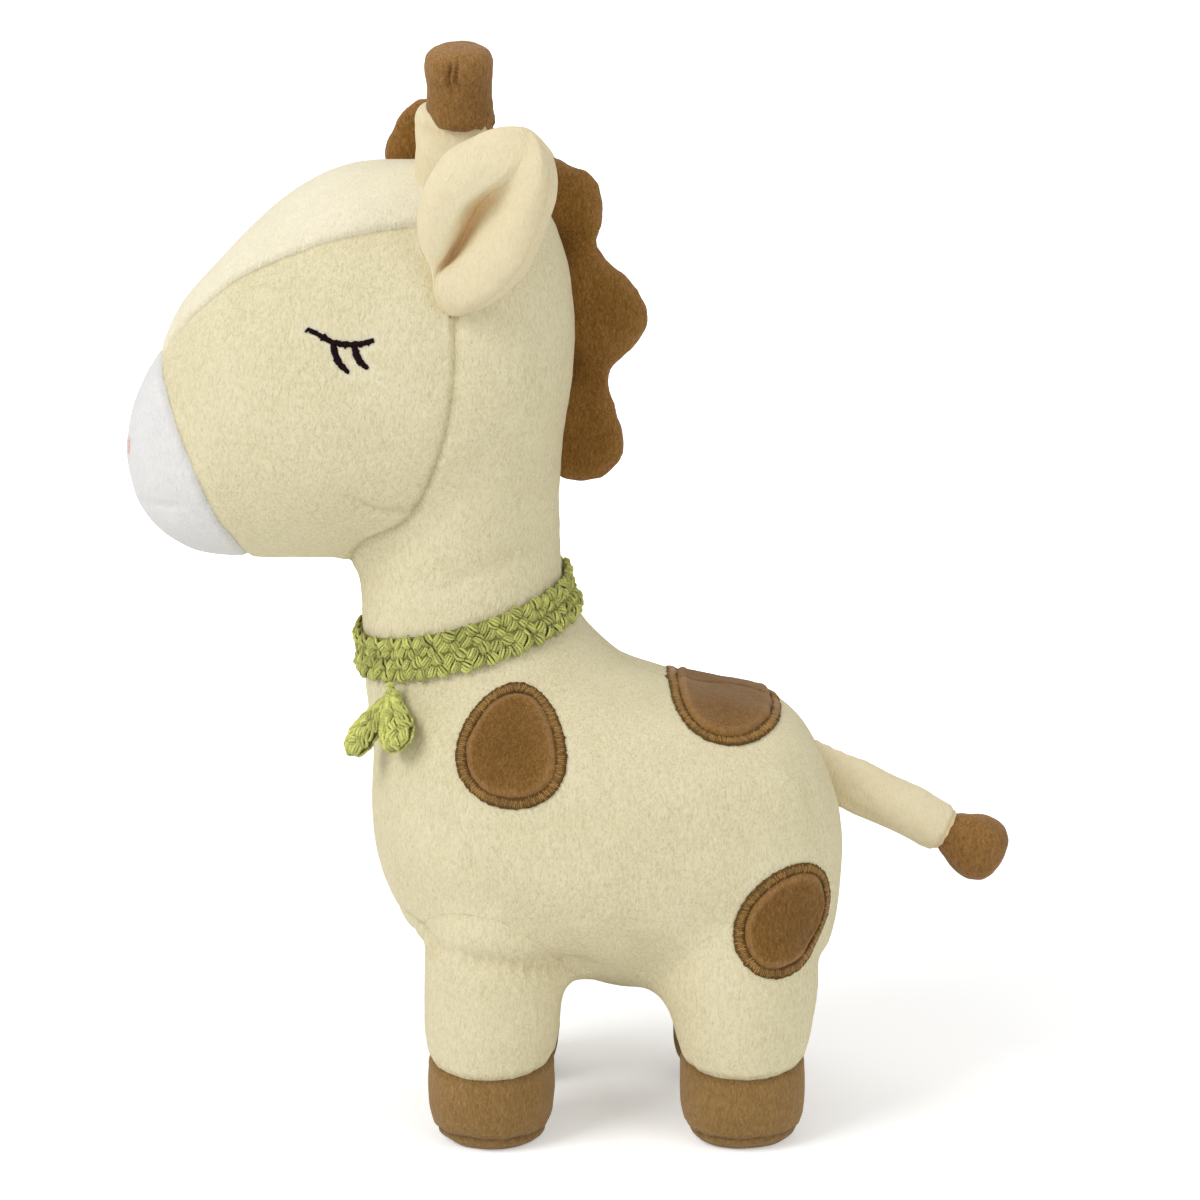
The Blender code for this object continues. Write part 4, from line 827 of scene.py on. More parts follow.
def pile_group():
    """Short plush pile: soft clouds where the nap lies differently, streaks along it, and grain."""
    if "Plush Pile" in bpy.data.node_groups:
        return bpy.data.node_groups["Plush Pile"]
    tree, given, made = group_of(
        "Plush Pile",
        [("Place", "VECTOR", None), ("Colour", "COLOR", None), ("Deep Colour", "COLOR", None),
         ("Tip Colour", "COLOR", None), ("Seam", "VALUE", 0.0), ("Contrast", "VALUE", 1.0)],
        [("Colour", "COLOR"), ("Height", "VALUE"), ("Roughness", "VALUE")])
    place = given["Place"]
    flow = add_node(tree, "Mapping", {"Vector": place, "Rotation": (0.0, 0.35, 0.0),
                                      "Scale": (1.0, 1.0, 0.38)})
    warp = noise_node(tree, place, 95.0, 2.0, output="Color")
    bent = add_node(tree, "VectorMath", {0: warp, 1: (0.0028, 0.0028, 0.0020), 2: flow.outputs["Vector"]},
                    operation="MULTIPLY_ADD").outputs["Vector"]
    clouds = noise_node(tree, place, 42.0, 3.0)
    streaks = noise_node(tree, bent, 1250.0, 2.0, 0.55)
    tufts = noise_node(tree, bent, 2700.0, 2.0, 0.6)
    grain = noise_node(tree, place, 4300.0, 1.0, 0.6)
    lay = range_node(tree, clouds, 0.35, 0.65, -0.10, 0.10)
    for layer, low, high, reach in ((streaks, 0.35, 0.65, 0.21), (tufts, 0.35, 0.65, 0.30),
                                    (grain, 0.3, 0.7, 0.26)):
        lay = math_node(tree, "ADD", lay, range_node(tree, layer, low, high, -reach, reach))
    lay = math_node(tree, "MULTIPLY", lay, given["Contrast"])
    # Painted shade and light: the Seam input darkens the pile towards its deep colour above 0, and below 0
    # paints paler tips as a highlight; the lay is the nap's own tone.
    darker = math_node(tree, "MULTIPLY", lay, -1.0)
    darker = math_node(tree, "ADD", darker, math_node(tree, "MULTIPLY", given["Seam"], 0.55))
    paler = math_node(tree, "MULTIPLY", given["Seam"], -0.6)
    paler = math_node(tree, "ADD", math_node(tree, "MULTIPLY", lay, 0.9), paler)
    deep = mix_node(tree, darker, given["Colour"], given["Deep Colour"])
    height = math_node(tree, "MULTIPLY", streaks, 0.45)
    for layer, share in ((tufts, 0.40), (grain, 0.15)):
        height = math_node(tree, "ADD", height, math_node(tree, "MULTIPLY", layer, share))
    feed(tree, made, {"Colour": mix_node(tree, paler, deep, given["Tip Colour"]), "Height": height,
                      "Roughness": range_node(tree, lay, -0.5, 0.5, 1.0, 0.82)})
    return tree


def shaded(colour, factor):
    return tuple(min(channel * factor, 1.0) for channel in colour) + (1.0,)


def lifted(colour, share):
    return tuple(channel + (1 - channel) * share for channel in colour) + (1.0,)


def plush(name, colour, deep, tips, contrast=0.7, sheen=0.22, sheen_tint=None):
    """Minky plush: matt, finely napped, with a pale sheen on its slopes."""
    if name in bpy.data.materials:
        return bpy.data.materials[name]
    material, tree, shader = new_material(name)
    pile = add_node(tree, "Group", {
        "Place": object_place(tree), "Seam": attribute_node(tree, "seam"), "Colour": (*colour, 1.0),
        "Deep Colour": deep, "Tip Colour": tips, "Contrast": contrast}, node_tree=pile_group()).outputs
    bump = add_node(tree, "Bump", {"Strength": 1.0, "Distance": 0.0007, "Height": pile["Height"]})
    feed(tree, shader, {
        "Base Color": pile["Colour"], "Roughness": pile["Roughness"], "Normal": bump.outputs["Normal"],
        "Specular IOR Level": 0.12, "Sheen Weight": sheen, "Sheen Roughness": 0.45,
        "Sheen Tint": sheen_tint or lifted(colour, 0.30)})
    return material


def cream_plush():
    colour = settings().cream
    return plush("cream_minky", colour, shaded(colour, 0.66), lifted(colour, 0.50), 1.0)


def pale_plush():
    colour = settings().pale
    return plush("pale_minky", colour, shaded(colour, 0.72), lifted(colour, 0.5), 0.7)


def lining_plush():
    """Plush of the ears, horn shafts and tail; its warm deep colour paints the shade deep in an ear's fold,
    where caught light is warm, and the nap's darker tone.
    """
    colour = settings().lining
    return plush("lining_minky", colour, (0.74, 0.45, 0.19, 1.0), lifted(colour, 0.45), 0.42)


def white_plush():
    colour = settings().white
    return plush("white_minky", colour, shaded(colour, 0.80), lifted(colour, 0.5), 0.6)


def dark_pile(name, colour, deep, contrast=1.1):
    """Brown plush, with tips a little paler than its ground; the painted highlights on its rims use these
    tips.
    """
    tips = tuple(1.5 * channel + 0.035 for channel in colour) + (1.0,)
    return plush(name, colour, shaded(colour, deep), tips, contrast, 0.40, lifted(colour, 0.38))


def brown_plush():
    return dark_pile("brown_minky", settings().brown, 0.45)


def mane_plush():
    return dark_pile("mane_minky", settings().mane, 0.40)


def hoof_plush():
    return dark_pile("hoof_minky", settings().hoof, 0.50, 0.95)


def patch_plush():
    return dark_pile("patch_minky", settings().patch, 0.45)


def thread_group():
    """Twisted thread: a different tone for each stitch, and fine fibres."""
    if "Twisted Thread" in bpy.data.node_groups:
        return bpy.data.node_groups["Twisted Thread"]
    tree, given, made = group_of(
        "Twisted Thread",
        [("Place", "VECTOR", None), ("Tone", "VALUE", 0.5), ("Dark", "COLOR", None), ("Light", "COLOR", None),
         ("Fibre Size", "VALUE", 3000.0)],
        [("Colour", "COLOR"), ("Height", "VALUE")])
    fibres = noise_node(tree, given["Place"], given["Fibre Size"], 3.0)
    wear = noise_node(tree, given["Place"], 160.0, 2.0)
    tone = math_node(tree, "ADD", math_node(tree, "MULTIPLY", given["Tone"], 0.65),
                     range_node(tree, fibres, 0.3, 0.7, -0.15, 0.35))
    tone = math_node(tree, "ADD", tone, range_node(tree, wear, 0.3, 0.7, -0.10, 0.15))
    feed(tree, made, {"Colour": mix_node(tree, tone, given["Dark"], given["Light"]), "Height": fibres})
    return tree


def thread(name, dark, light, roughness, specular, sheen, size, bump_size):
    """Thread or yarn between two tones, with fibres and a bump of the given sizes."""
    if name in bpy.data.materials:
        return bpy.data.materials[name]
    material, tree, shader = new_material(name)
    look = add_node(tree, "Group", {
        "Place": object_place(tree), "Tone": attribute_node(tree, "tone"), "Dark": dark, "Light": light,
        "Fibre Size": size}, node_tree=thread_group()).outputs
    bump = add_node(tree, "Bump", {"Strength": 0.5, "Distance": bump_size, "Height": look["Height"]})
    feed(tree, shader, {
        "Base Color": look["Colour"], "Normal": bump.outputs["Normal"], "Roughness": roughness,
        "Specular IOR Level": specular, "Sheen Weight": sheen})
    return material


def satin_thread():
    colour = settings().satin
    return thread("satin_thread", shaded(colour, 0.45), shaded(colour, 1.45), 0.45, 0.25, 0.0,
                  2600.0, 0.00008)


def dark_thread():
    """The underlay that shows between satin stitches, darkened as painted shade between the stitches and at
    their edges.
    """
    colour = settings().satin
    return thread("satin_underlay", shaded(colour, 0.32), shaded(colour, 0.62), 0.8, 0.1, 0.0,
                  2200.0, 0.0001)


def eye_thread():
    colour = settings().eye_thread
    return thread("eye_thread", shaded(colour, 0.2), shaded(colour, 1.5), 0.6, 0.06, 0.0, 2600.0, 0.00008)


def nose_thread():
    colour = settings().nose_thread
    return thread("nose_thread", shaded(colour, 0.8), lifted(colour, 0.3), 0.45, 0.4, 0.1, 2600.0, 0.00008)


def yarn(depth=1.0):
    """Cotton yarn, painted darker or lighter by a share: darker as painted shade for the layer under the
    stitches, lighter as painted light for the leaves.
    """
    colour = settings().yarn
    return thread("yarn_%d" % (100 * depth), shaded(colour, 0.55 * depth), shaded(colour, 1.30 * depth),
                  0.85, 0.15, 0.08, 2400.0, 0.00012)


def fibre():
    return thread("wadding_fibre", (0.72, 0.72, 0.70, 1), (0.92, 0.92, 0.90, 1), 0.95, 0.1, 0.3,
                  700.0, 0.0012)


EYE_X, EYE_Z, EYE_LENGTH, LASH_LENGTHS = -0.0580, 0.2119, 0.0172, (0.0073, 0.0063)
LID_SHARES = [(-0.47, 0.19), (-0.30, 0.11), (-0.12, 0.01), (0.12, -0.03), (0.35, -0.015), (0.50, 0.03)]
LASH_ROOTS = (-0.09, 0.22)
LASH_SHARES = [(0.00, 0.00), (0.06, -0.34), (0.22, -0.70), (0.52, -1.00)]
# Widths along the lid's and the lashes' stitches, as shares of the length and of the width
LID_WIDTHS = [(0, 0.7), (0.12, 0.85), (0.3, 1), (0.85, 1), (1, 0.7)]
LASH_WIDTHS = [(0, 0.9), (0.3, 1), (0.7, 1), (1, 0.5)]
# Each nostril's middle and its half width and height
NOSTRIL_Y, NOSTRIL_Z, NOSTRIL_HALF_WIDTH, NOSTRIL_HALF_HEIGHT = 0.0095, 0.1835, 0.0030, 0.0025


def eye_lines():
    """The lid and the two lashes of an eye in the side view."""
    lid = curve_through([(EYE_X + a * EYE_LENGTH, EYE_Z + b * EYE_LENGTH) for a, b in LID_SHARES], 12)
    lashes = [curve_through([(EYE_X + root * EYE_LENGTH + a * length, EYE_Z - 0.0002 + b * length)
                             for a, b in LASH_SHARES], 8) for root, length in zip(LASH_ROOTS, LASH_LENGTHS)]
    return [lid, *lashes]


PANEL_LOOKS = {
    "muzzle": (white_plush, "white_plush"), "forehead": (pale_plush, "pale_plush"),
    "hoof": (hoof_plush, "hoof_plush"), "sole": (hoof_plush, "hoof_plush"),
}
# The stuffed body starts this share of the swell inside its form, with and without the simulation
SKIN_INSET, PLAIN_SKIN_INSET = 0.15, 0.6
# How wide and deep an eye's stitches press the plush, and how far from the middle the eyes begin
EYE_PRESS_WIDTH, EYE_PRESS_DEPTH, EYE_SIDE_Y = 0.0017, 0.0004, 0.02
# How much the soles are pressed flat by the floor, and up to what height
SOLE_PRESS, SOLE_PRESS_REACH = 0.0006, 0.012


class SKIN_OT_body(bpy.types.Operator):
    """Sew the body's skin: torso, neck, head, legs and hooves, split along its seams"""
    bl_idname = "plush.body"
    bl_label = "Body Skin"

    def execute(self, context):
        toy = settings()
        forms = [
            lying_form("torso", TORSO_ROW_SHARES, TORSO_FRONT_X, TORSO_LENGTH, TORSO_BASE_Z, TORSO_HEIGHT,
                       TORSO_WIDTH, TORSO_FULLNESS),
            standing_form("neck", NECK_ROW_SHARES, NECK_BASE_Z, NECK_HEIGHT, NECK_FRONT_X, NECK_DEPTH,
                          NECK_WIDTH, NECK_FULLNESS),
            lying_form("head", HEAD_ROW_SHARES, HEAD_FRONT_X, HEAD_LENGTH, HEAD_BASE_Z, HEAD_HEIGHT,
                       HEAD_WIDTH, HEAD_FULLNESS),
        ]
        forms += [leg_form(end, side) for end in LEG_XS for _, side in SIDES]
        skin = join("skin", forms)
        apply_modifier(skin, "REMESH", mode="VOXEL", voxel_size=toy.skin_voxel)
        relax(skin, 8)
        points, edges = points_of(skin), edges_of(skin)
        names = body_panel(points)
        crossing = edges[names[edges[:, 0]] != names[edges[:, 1]]]
        depths = np.array([seam_depth(names[a], names[b]) for a, b in crossing])
        held = np.unique(crossing[depths > 0])
        low = np.flatnonzero(points[:, 2] < SOLE_SEAM_Z)
        inset = SKIN_INSET
        points = points - normals_of(skin) * toy.stuffing_swell * inset
        set_points(skin, points + body_push(points))
        swell(skin, np.union1d(held, low), toy.stuffing_swell)
        apply_modifier(skin, "SUBSURF", levels=2, render_levels=2)
        refine_near(skin, body_panel, 0.0030)
        cut_lines(skin, BODY_FIELDS, body_panel)
        names = face_names(skin, body_panel)
        places, depths = seam_points(skin, names, seam_depth)
        ripple(skin, [(0.030, 0.0007), (0.009, 0.00018)])
        draw_in_seams(skin, places, depths)
        pinch(skin, [([on_form(skin, (x, side * 0.2, z), (0, -side, 0)) for x, z in line], width, depth)
                     for line, width, depth in SIDE_CREASES for side in (-1, 1)], 0.006)
        self.press_eyes_and_soles(skin)
        SEWN["points"] = points_of(skin)
        SEWN["faces"] = [tuple(face.vertices) for face in skin.data.polygons]
        SEWN["tree"] = BVHTree.FromPolygons([Vector(point) for point in SEWN["points"]], SEWN["faces"])
        for name, panel in split_panels(skin, names, toy.plush_thickness).items():
            look, slot = PANEL_LOOKS.get(name.split("_")[0], (cream_plush, "cream_plush"))
            finish_piece(panel, look(), "toy", [name])
        discard(skin)
        return {"FINISHED"}

    def press_eyes_and_soles(self, skin):
        """Press the pile down where the eyes are sewn, and lay the soles flat on the floor."""
        points = points_of(skin)
        marks = np.insert(np.concatenate(eye_lines()), 1, 0, axis=1)
        near = np.exp(-(distance_to(points * (1, 0, 1), marks) / EYE_PRESS_WIDTH) ** 2)
        near = near * (np.abs(points[:, 1]) > EYE_SIDE_Y)
        # Painted highlight: paler pile tips round the eye stitches, where the pressed pile catches more
        # light.
        shade_by(skin, -0.8 * near)
        points = points - normals_of(skin) * (EYE_PRESS_DEPTH * near)[:, None]
        down = points[:, 2].min() + SOLE_PRESS
        low = np.clip(1.6 - points[:, 2] / SOLE_PRESS_REACH, 0, 1)
        points[:, 2] = np.maximum(points[:, 2] - down * low, 0.0)
        set_points(skin, points)


def shade_by(obj, added):
    """Add to the painted shade stored on a piece: above 0 the pile is painted darker, below 0 its tips are
    painted paler as a highlight.
    """
    stored = obj.data.attributes["seam"].data
    values = np.empty(len(obj.data.vertices))
    stored.foreach_get("value", values)
    stored.foreach_set("value", values + added)


def pinch(obj, lines, reach):
    """Press soft creases into a padded piece: each line has its points, half width and depth."""
    points, normals = points_of(obj), normals_of(obj)
    for line, width, depth in lines:
        line = curve_through(line, 6)
        away = distance_to(points, line)
        ends = np.minimum(distance_to(points, line[:1]), distance_to(points, line[-1:]))
        fade = np.clip(0.35 + ends / reach, 0, 1)
        points = points - normals * (depth * fade * np.exp(-(away / width) ** 2))[:, None]
    set_points(obj, points)


def mark_seam(obj, places, strength=1.0):
    """Draw a small piece in along its seam and paint shade along it."""
    draw_in_seams(obj, np.asarray(places), np.full(len(places), strength))


def stuffed(form, voxel, rise, held_of):
    """Make a form a padded piece: remeshed, blown up by its stuffing and refined."""
    apply_modifier(form, "REMESH", mode="VOXEL", voxel_size=voxel)
    relax(form, 5)
    points = points_of(form)
    set_points(form, points - normals_of(form) * rise * 0.5)
    swell(form, np.flatnonzero(held_of(points)), rise)
    apply_modifier(form, "SUBSURF", levels=2, render_levels=2)


# The horns lean out, the tail points back and down, and each ear has its own frame
HORN_FOOT, HORN_SPLAY, HORN_LENGTH = (-0.0295, 0.0135, 0.2420), math.radians(19), 0.0472
HORN_CAP_LENGTH, HORN_WIDTH, HORN_CAP_WIDTH, HORN_CAP_BACK = 0.0212, 0.0200, 0.0184, 0.0015
HORN_SHAFT_SHARES = [
    (0.00, 1.16), (0.10, 1.14), (0.25, 1.10), (0.60, 1.03), (0.78, 0.97), (0.90, 0.93), (0.96, 0.86),
    (1.00, 0.66), (1.01, 0.0),
]
HORN_CAP_SHARES = [
    (0.00, 0.00), (0.00, 0.60), (0.03, 0.96), (0.09, 1.02), (0.20, 1.00), (0.38, 0.94), (0.52, 0.94),
    (0.66, 0.985), (0.78, 0.99), (0.88, 0.92), (0.955, 0.72), (0.99, 0.42), (1.00, 0.00),
]
# Folds of a horn's cap: direction round it, half width and where each starts as a share of the height
HORN_CAP_FOLDS = [(-1.62, 0.0009, 0.50), (-1.38, 0.0008, 0.56), (1.9, 0.0010, 0.45)]
HORN_FOLD_DEPTH, HORN_VOXEL = 0.0019, 0.0017
# The far horn leans forward by this share of its height
FAR_HORN_LEAN = 0.055
TAIL_ROOT, TAIL_DROOP, TAIL_LENGTH = (0.0720, 0, 0.0935), math.radians(28), 0.0522
TAIL_DEPTH, TAIL_WIDTH, TAIL_SAG = 0.0190, 0.0135, 0.0011
TAIL_ALONG = np.array([math.cos(TAIL_DROOP), 0, -math.sin(TAIL_DROOP)])
TAIL_UP = np.array([math.sin(TAIL_DROOP), 0, math.cos(TAIL_DROOP)])
TAIL_SLEEVE_SHARES = [
    (-0.260, 0.00, 0.00), (-0.252, 0.45, 0.16), (-0.200, 0.68, 0.26), (-0.100, 0.75, 0.40),
    (0.000, 0.76, 0.52), (0.080, 0.77, 0.68), (0.200, 0.80, 0.88), (0.400, 0.78, 0.98),
    (0.560, 0.78, 1.00), (0.640, 0.79, 1.00), (0.668, 0.77, 0.97), (0.676, 0.60, 0.75), (0.678, 0.00, 0.00),
]
TAIL_TUFT_SHARES = [
    (0.590, 0.00, 0.00), (0.600, 0.50, 0.70), (0.640, 0.64, 0.92), (0.700, 0.76, 1.06), (0.780, 0.93, 1.20),
    (0.860, 0.98, 1.28), (0.935, 0.86, 1.14), (0.980, 0.54, 0.72), (1.000, 0.00, 0.00),
]
# Where the tuft is sewn on along the tail, and the half width of a fold
TAIL_SEAM_PLACE, TAIL_FOLD_WIDTH = 0.652, 0.0014
# Folds of the tail's pieces: line as place and reach, directions round the tail, depth and fade
TAIL_FOLDS = {
    "tail_cover": (((0.02, 0.9), (0.16, 0.85), (0.34, 0.8)), (-2.2, 2.6, -0.6, 0.5), 0.0009, 0.008),
    "tail_tuft": (((0.66, 0.8), (0.74, 0.95), (0.80, 1)), (-2.6, -1.9, 1.2, 2.5, 0.1), 0.0019, 0.004),
}
MANE_FRONT_X, MANE_LENGTH, MANE_BASE_Z, MANE_HEIGHT, MANE_THICKNESS = -0.0500, 0.0710, 0.1730, 0.1025, 0.0130
MANE_OUTLINE_SHARES = [
    (0.003, 0.830), (0.020, 0.890), (0.070, 0.950), (0.150, 0.990), (0.235, 1.000), (0.330, 0.975),
    (0.430, 0.915), (0.480, 0.885), (0.560, 0.868), (0.680, 0.835), (0.765, 0.812), (0.815, 0.775),
    (0.830, 0.715), (0.815, 0.610), (0.860, 0.572), (0.940, 0.520), (0.995, 0.450), (0.980, 0.385),
    (0.925, 0.335), (0.870, 0.285), (0.865, 0.225), (0.905, 0.155), (0.915, 0.090), (0.860, 0.030),
    (0.780, 0.000), (0.700, 0.000), (0.620, 0.040), (0.560, 0.120), (0.550, 0.300), (0.540, 0.500),
    (0.480, 0.640), (0.380, 0.730), (0.220, 0.775), (0.080, 0.790),
]
# Valleys between the mane's scallops, from the edge inwards, and their half width and depth
MANE_VALLEYS = [
    ((0.440, 0.852), (0.385, 0.795)), ((0.730, 0.626), (0.590, 0.600)), ((0.770, 0.280), (0.620, 0.320)),
]
MANE_VALLEY_WIDTH, MANE_VALLEY_DEPTH = 0.0042, 0.0046
EAR_FOOT = (-0.0300, 0.0385, 0.2195)
EAR_ALONG, EAR_OUT = (0.40, 0.20, 0.90), (-0.30, 0.95, 0.0)
# In millimetres: place along an ear, reach of the front and the rear lobe, heights of both lobes, depth
# of the back, and the middle, half width and depth of the slit between the lobes, before rounding off
EAR_ROWS = [
    (-1.0, 4.6, 5.4, 4.2, 4.2, 3.0, -1.0, 0.5, 0.0), (2.0, 5.4, 6.2, 4.6, 4.8, 3.2, -2.6, 0.5, 0.0),
    (5.0, 6.4, 7.9, 4.4, 5.2, 3.4, -4.4, 0.6, 0.0), (8.0, 8.4, 9.9, 4.2, 5.4, 3.6, -5.4, 0.8, 1.0),
    (10.0, 11.4, 11.2, 4.6, 5.6, 3.6, -5.8, 1.0, 3.6), (12.0, 13.9, 12.4, 5.4, 5.6, 3.8, -5.4, 1.2, 5.8),
    (17.0, 16.8, 14.2, 6.8, 5.6, 4.0, -4.8, 1.8, 8.0), (22.0, 18.2, 14.9, 7.8, 5.4, 4.2, -4.5, 2.4, 8.6),
    (27.0, 18.5, 15.0, 8.2, 5.4, 4.2, -3.8, 2.8, 8.0), (32.0, 18.2, 14.8, 8.2, 5.8, 4.2, -1.2, 2.8, 5.4),
    (37.0, 17.0, 14.2, 7.8, 6.4, 4.2, 2.2, 2.4, 2.2), (42.0, 13.6, 13.3, 7.4, 6.8, 4.0, 3.6, 2.2, 0.7),
    (46.0, 11.4, 12.8, 7.2, 7.0, 3.8, 4.0, 2.0, 0.1), (49.0, 9.0, 12.4, 7.0, 7.0, 3.6, 3.6, 2.0, 0.1),
    (51.0, 6.5, 12.2, 6.8, 6.8, 3.4, 3.0, 2.0, 0.0),
]
EAR_FOOT_ROUND, EAR_TOP_ROUND = 7.5, 14.0
EAR_LINING_FROM, EAR_LINING_TO = 13, 18
# How strongly an ear's seam draws it in, and the thickness of its cloths
EAR_SEAM_DEPTH, EAR_CLOTH = 0.15, 0.0012


def ear_section(front, rear, high_front, high_rear, back, slit, half, deep):
    """Corners of a section across an ear: round its back, over the front lobe, into the slit and out."""
    open_slit = min(deep / 6, 1)
    lip = min(deep, 2.5)
    return [
        (rear, 0.10 * high_rear), (0.96 * rear, -0.45 * back), (0.70 * rear, -0.85 * back),
        (0.20 * rear, -back),
        (-0.35 * front, -back), (-0.75 * front, -0.80 * back), (-0.97 * front, -0.30 * back),
        (-front, 0.25 * high_front), (-0.92 * front, 0.68 * high_front),
        (-0.62 * front + 0.38 * slit, 0.98 * high_front), (-0.28 * front + 0.72 * (slit - half), high_front),
        (slit + half * (0.9 * open_slit - 1), high_front - 0.25 * lip),
        (slit + half * (0.25 * open_slit - 0.75), high_front - 0.55 * deep),
        (slit - 0.3 * half * open_slit, (high_front + high_rear) / 2 - deep),
        (slit + half * (0.75 + 0.15 * open_slit), high_rear - 0.62 * deep),
        (slit + half * (1.2 + 1.0 * open_slit), high_rear - 0.28 * deep),
        (0.45 * rear + 0.55 * (slit + 1.6 * half), high_rear), (0.76 * rear + 0.24 * slit, 0.95 * high_rear),
        (0.93 * rear, 0.60 * high_rear),
    ]


def rounded(corners, steps, rounds):
    """A closed outline with soft corners, the same number of points on each of its sides."""
    corners = np.array(corners)
    sides = zip(corners, np.roll(corners, -1, axis=0))
    points = np.concatenate([np.linspace(start, end, steps, endpoint=False) for start, end in sides])
    for _ in range(rounds):
        points = (np.roll(points, 1, axis=0) + 2 * points + np.roll(points, -1, axis=0)) / 4
    return points


def ear_rings(steps):
    """Rings of an ear in metres, across it, out and along, closer together towards its round ends."""
    table = curve_through(EAR_ROWS, 4)
    first, last = table[0, 0], table[-1, 0]
    rings = []
    for place in first + (last - first) * (1 - np.cos(np.linspace(0, np.pi, 49))) / 2:
        low = np.clip((first + EAR_FOOT_ROUND - place) / EAR_FOOT_ROUND, 0, 1)
        high = np.clip((place - last + EAR_TOP_ROUND) / EAR_TOP_ROUND, 0, 1)
        size = math.sqrt(max((1 - low ** 2) * (1 - high ** 2), 0))
        row = [np.interp(place, table[:, 0], table[:, k]) * size for k in range(1, 9)]
        ring = rounded(ear_section(*row), steps, 6)
        rings.append(np.column_stack([ring, np.full(len(ring), place)]) / 1000)
    return rings


def horn_place(distance, out, turn, side):
    """A place on a horn: distance from its foot, distance from its middle line, and direction round it."""
    axis = np.array([0, side * math.sin(HORN_SPLAY), math.cos(HORN_SPLAY)])
    across = np.array([0, math.cos(HORN_SPLAY), -side * math.sin(HORN_SPLAY)])
    foot = np.array(HORN_FOOT) * (1, side, 1)
    return foot + axis * distance + out * (np.array([math.cos(turn), 0, 0]) + across * math.sin(turn))


def horn_form(shares, start, length, width, side):
    """A form round a horn's middle line from rows of place and width."""
    turns = 2 * np.pi * np.arange(40) / 40
    return loft("horn", [[horn_place(start + place * length, max(wide, 0) * width / 2, turn, side)
                          for turn in turns] for place, wide in curve_through(shares, 4)])


def horn_seam(start, out, side):
    """Places round a horn where its shaft meets its cap."""
    return [horn_place(start, out, turn, side) for turn in SEAM_TURNS]


def horn_shaft(start, side, foot, axis, rise):
    """A stuffed shaft, narrower and a little further forward where it goes into the cap."""
    shaft = horn_form(HORN_SHAFT_SHARES, 0.0, start + 0.0056, HORN_WIDTH, side)
    stuffed(shaft, HORN_VOXEL, 0.0004, lambda p: (rise(p) < 0.004) | (rise(p) > start + 0.002))
    points = points_of(shaft)
    share = np.clip((rise(points) - start + 0.006) / 0.008, 0, 1)
    points[:, 0] -= 0.0013 * share
    points[:, 1] += (foot[1] + rise(points) * axis[1] - points[:, 1]) * 0.26 * share
    set_points(shaft, points)
    ripple(shaft, [(0.012, 0.0004), (0.004, 0.00012)])
    mark_seam(shaft, horn_seam(start, HORN_WIDTH * 0.42, side), 0.4)
    return shaft


def horn_cap(start, side, axis, rise):
    """A stuffed cap with folds on its upper half and a wavy lower edge."""
    cap = horn_form(HORN_CAP_SHARES, start, HORN_CAP_LENGTH, HORN_CAP_WIDTH, side)
    set_points(cap, points_of(cap) + (HORN_CAP_BACK, 0, 0))
    stuffed(cap, HORN_VOXEL, 0.0005, lambda p: rise(p) < start + 0.002)
    folds = []
    for turn, width, low in HORN_CAP_FOLDS:
        line = [horn_place(start + share * HORN_CAP_LENGTH, HORN_CAP_WIDTH * reach, turn + lean, side)
                for share, reach, lean in ((low, 0.46, 0.10), (0.66, 0.48, -0.06), (0.92, 0.43, 0.08))]
        folds.append((line, width, HORN_FOLD_DEPTH))
    pinch(cap, folds, 0.004)
    points = points_of(cap)
    low = np.exp(-((rise(points) - start) / 0.0022) ** 2)
    waves = np.array([noise(Vector(point) / 0.0022) for point in points])
    set_points(cap, points - np.outer(low * (0.0005 + 0.0009 * waves), axis))
    ripple(cap, [(0.007, 0.0003), (0.0022, 0.0002)])
    mark_seam(cap, horn_seam(start, HORN_CAP_WIDTH * 0.45, side), 0.4)
    # Painted light on the cap: shade across its middle and paler tips, a painted highlight, towards its top.
    height = (rise(points_of(cap)) - start) / HORN_CAP_LENGTH
    darker = 0.30 * np.exp(-((height - 0.35) / 0.25) ** 2)
    shade_by(cap, darker - 0.45 * np.clip(height - 0.62, 0, 0.3) / 0.3)
    return cap


class SKIN_OT_horns(bpy.types.Operator):
    """Stuff the two horns and sew a brown cap on each"""
    bl_idname = "plush.horns"
    bl_label = "Horns"

    def execute(self, context):
        start = HORN_LENGTH - HORN_CAP_LENGTH
        for label, side in SIDES:
            foot = Vector(horn_place(0, 0, 0, side))
            axis = (Vector(horn_place(1, 0, 0, side)) - foot).normalized()

            def rise(p):
                return (p - np.array(foot)) @ np.array(axis)

            shaft = horn_shaft(start, side, foot, axis, rise)
            finish_piece(shaft, lining_plush(), "toy", ["horn_shaft_" + label])
            shaft.name = "horn_shaft_cloth_" + label
            cap = horn_cap(start, side, axis, rise)
            finish_piece(cap, brown_plush(), "toy", ["horn_cap_" + label])
            cap.name = "horn_cap_cloth_" + label
            if side > 0:
                for piece in (shaft, cap):
                    points = points_of(piece)
                    points[:, 0] -= FAR_HORN_LEAN * np.clip(rise(points), 0, 1)
                    set_points(piece, points)
        return {"FINISHED"}


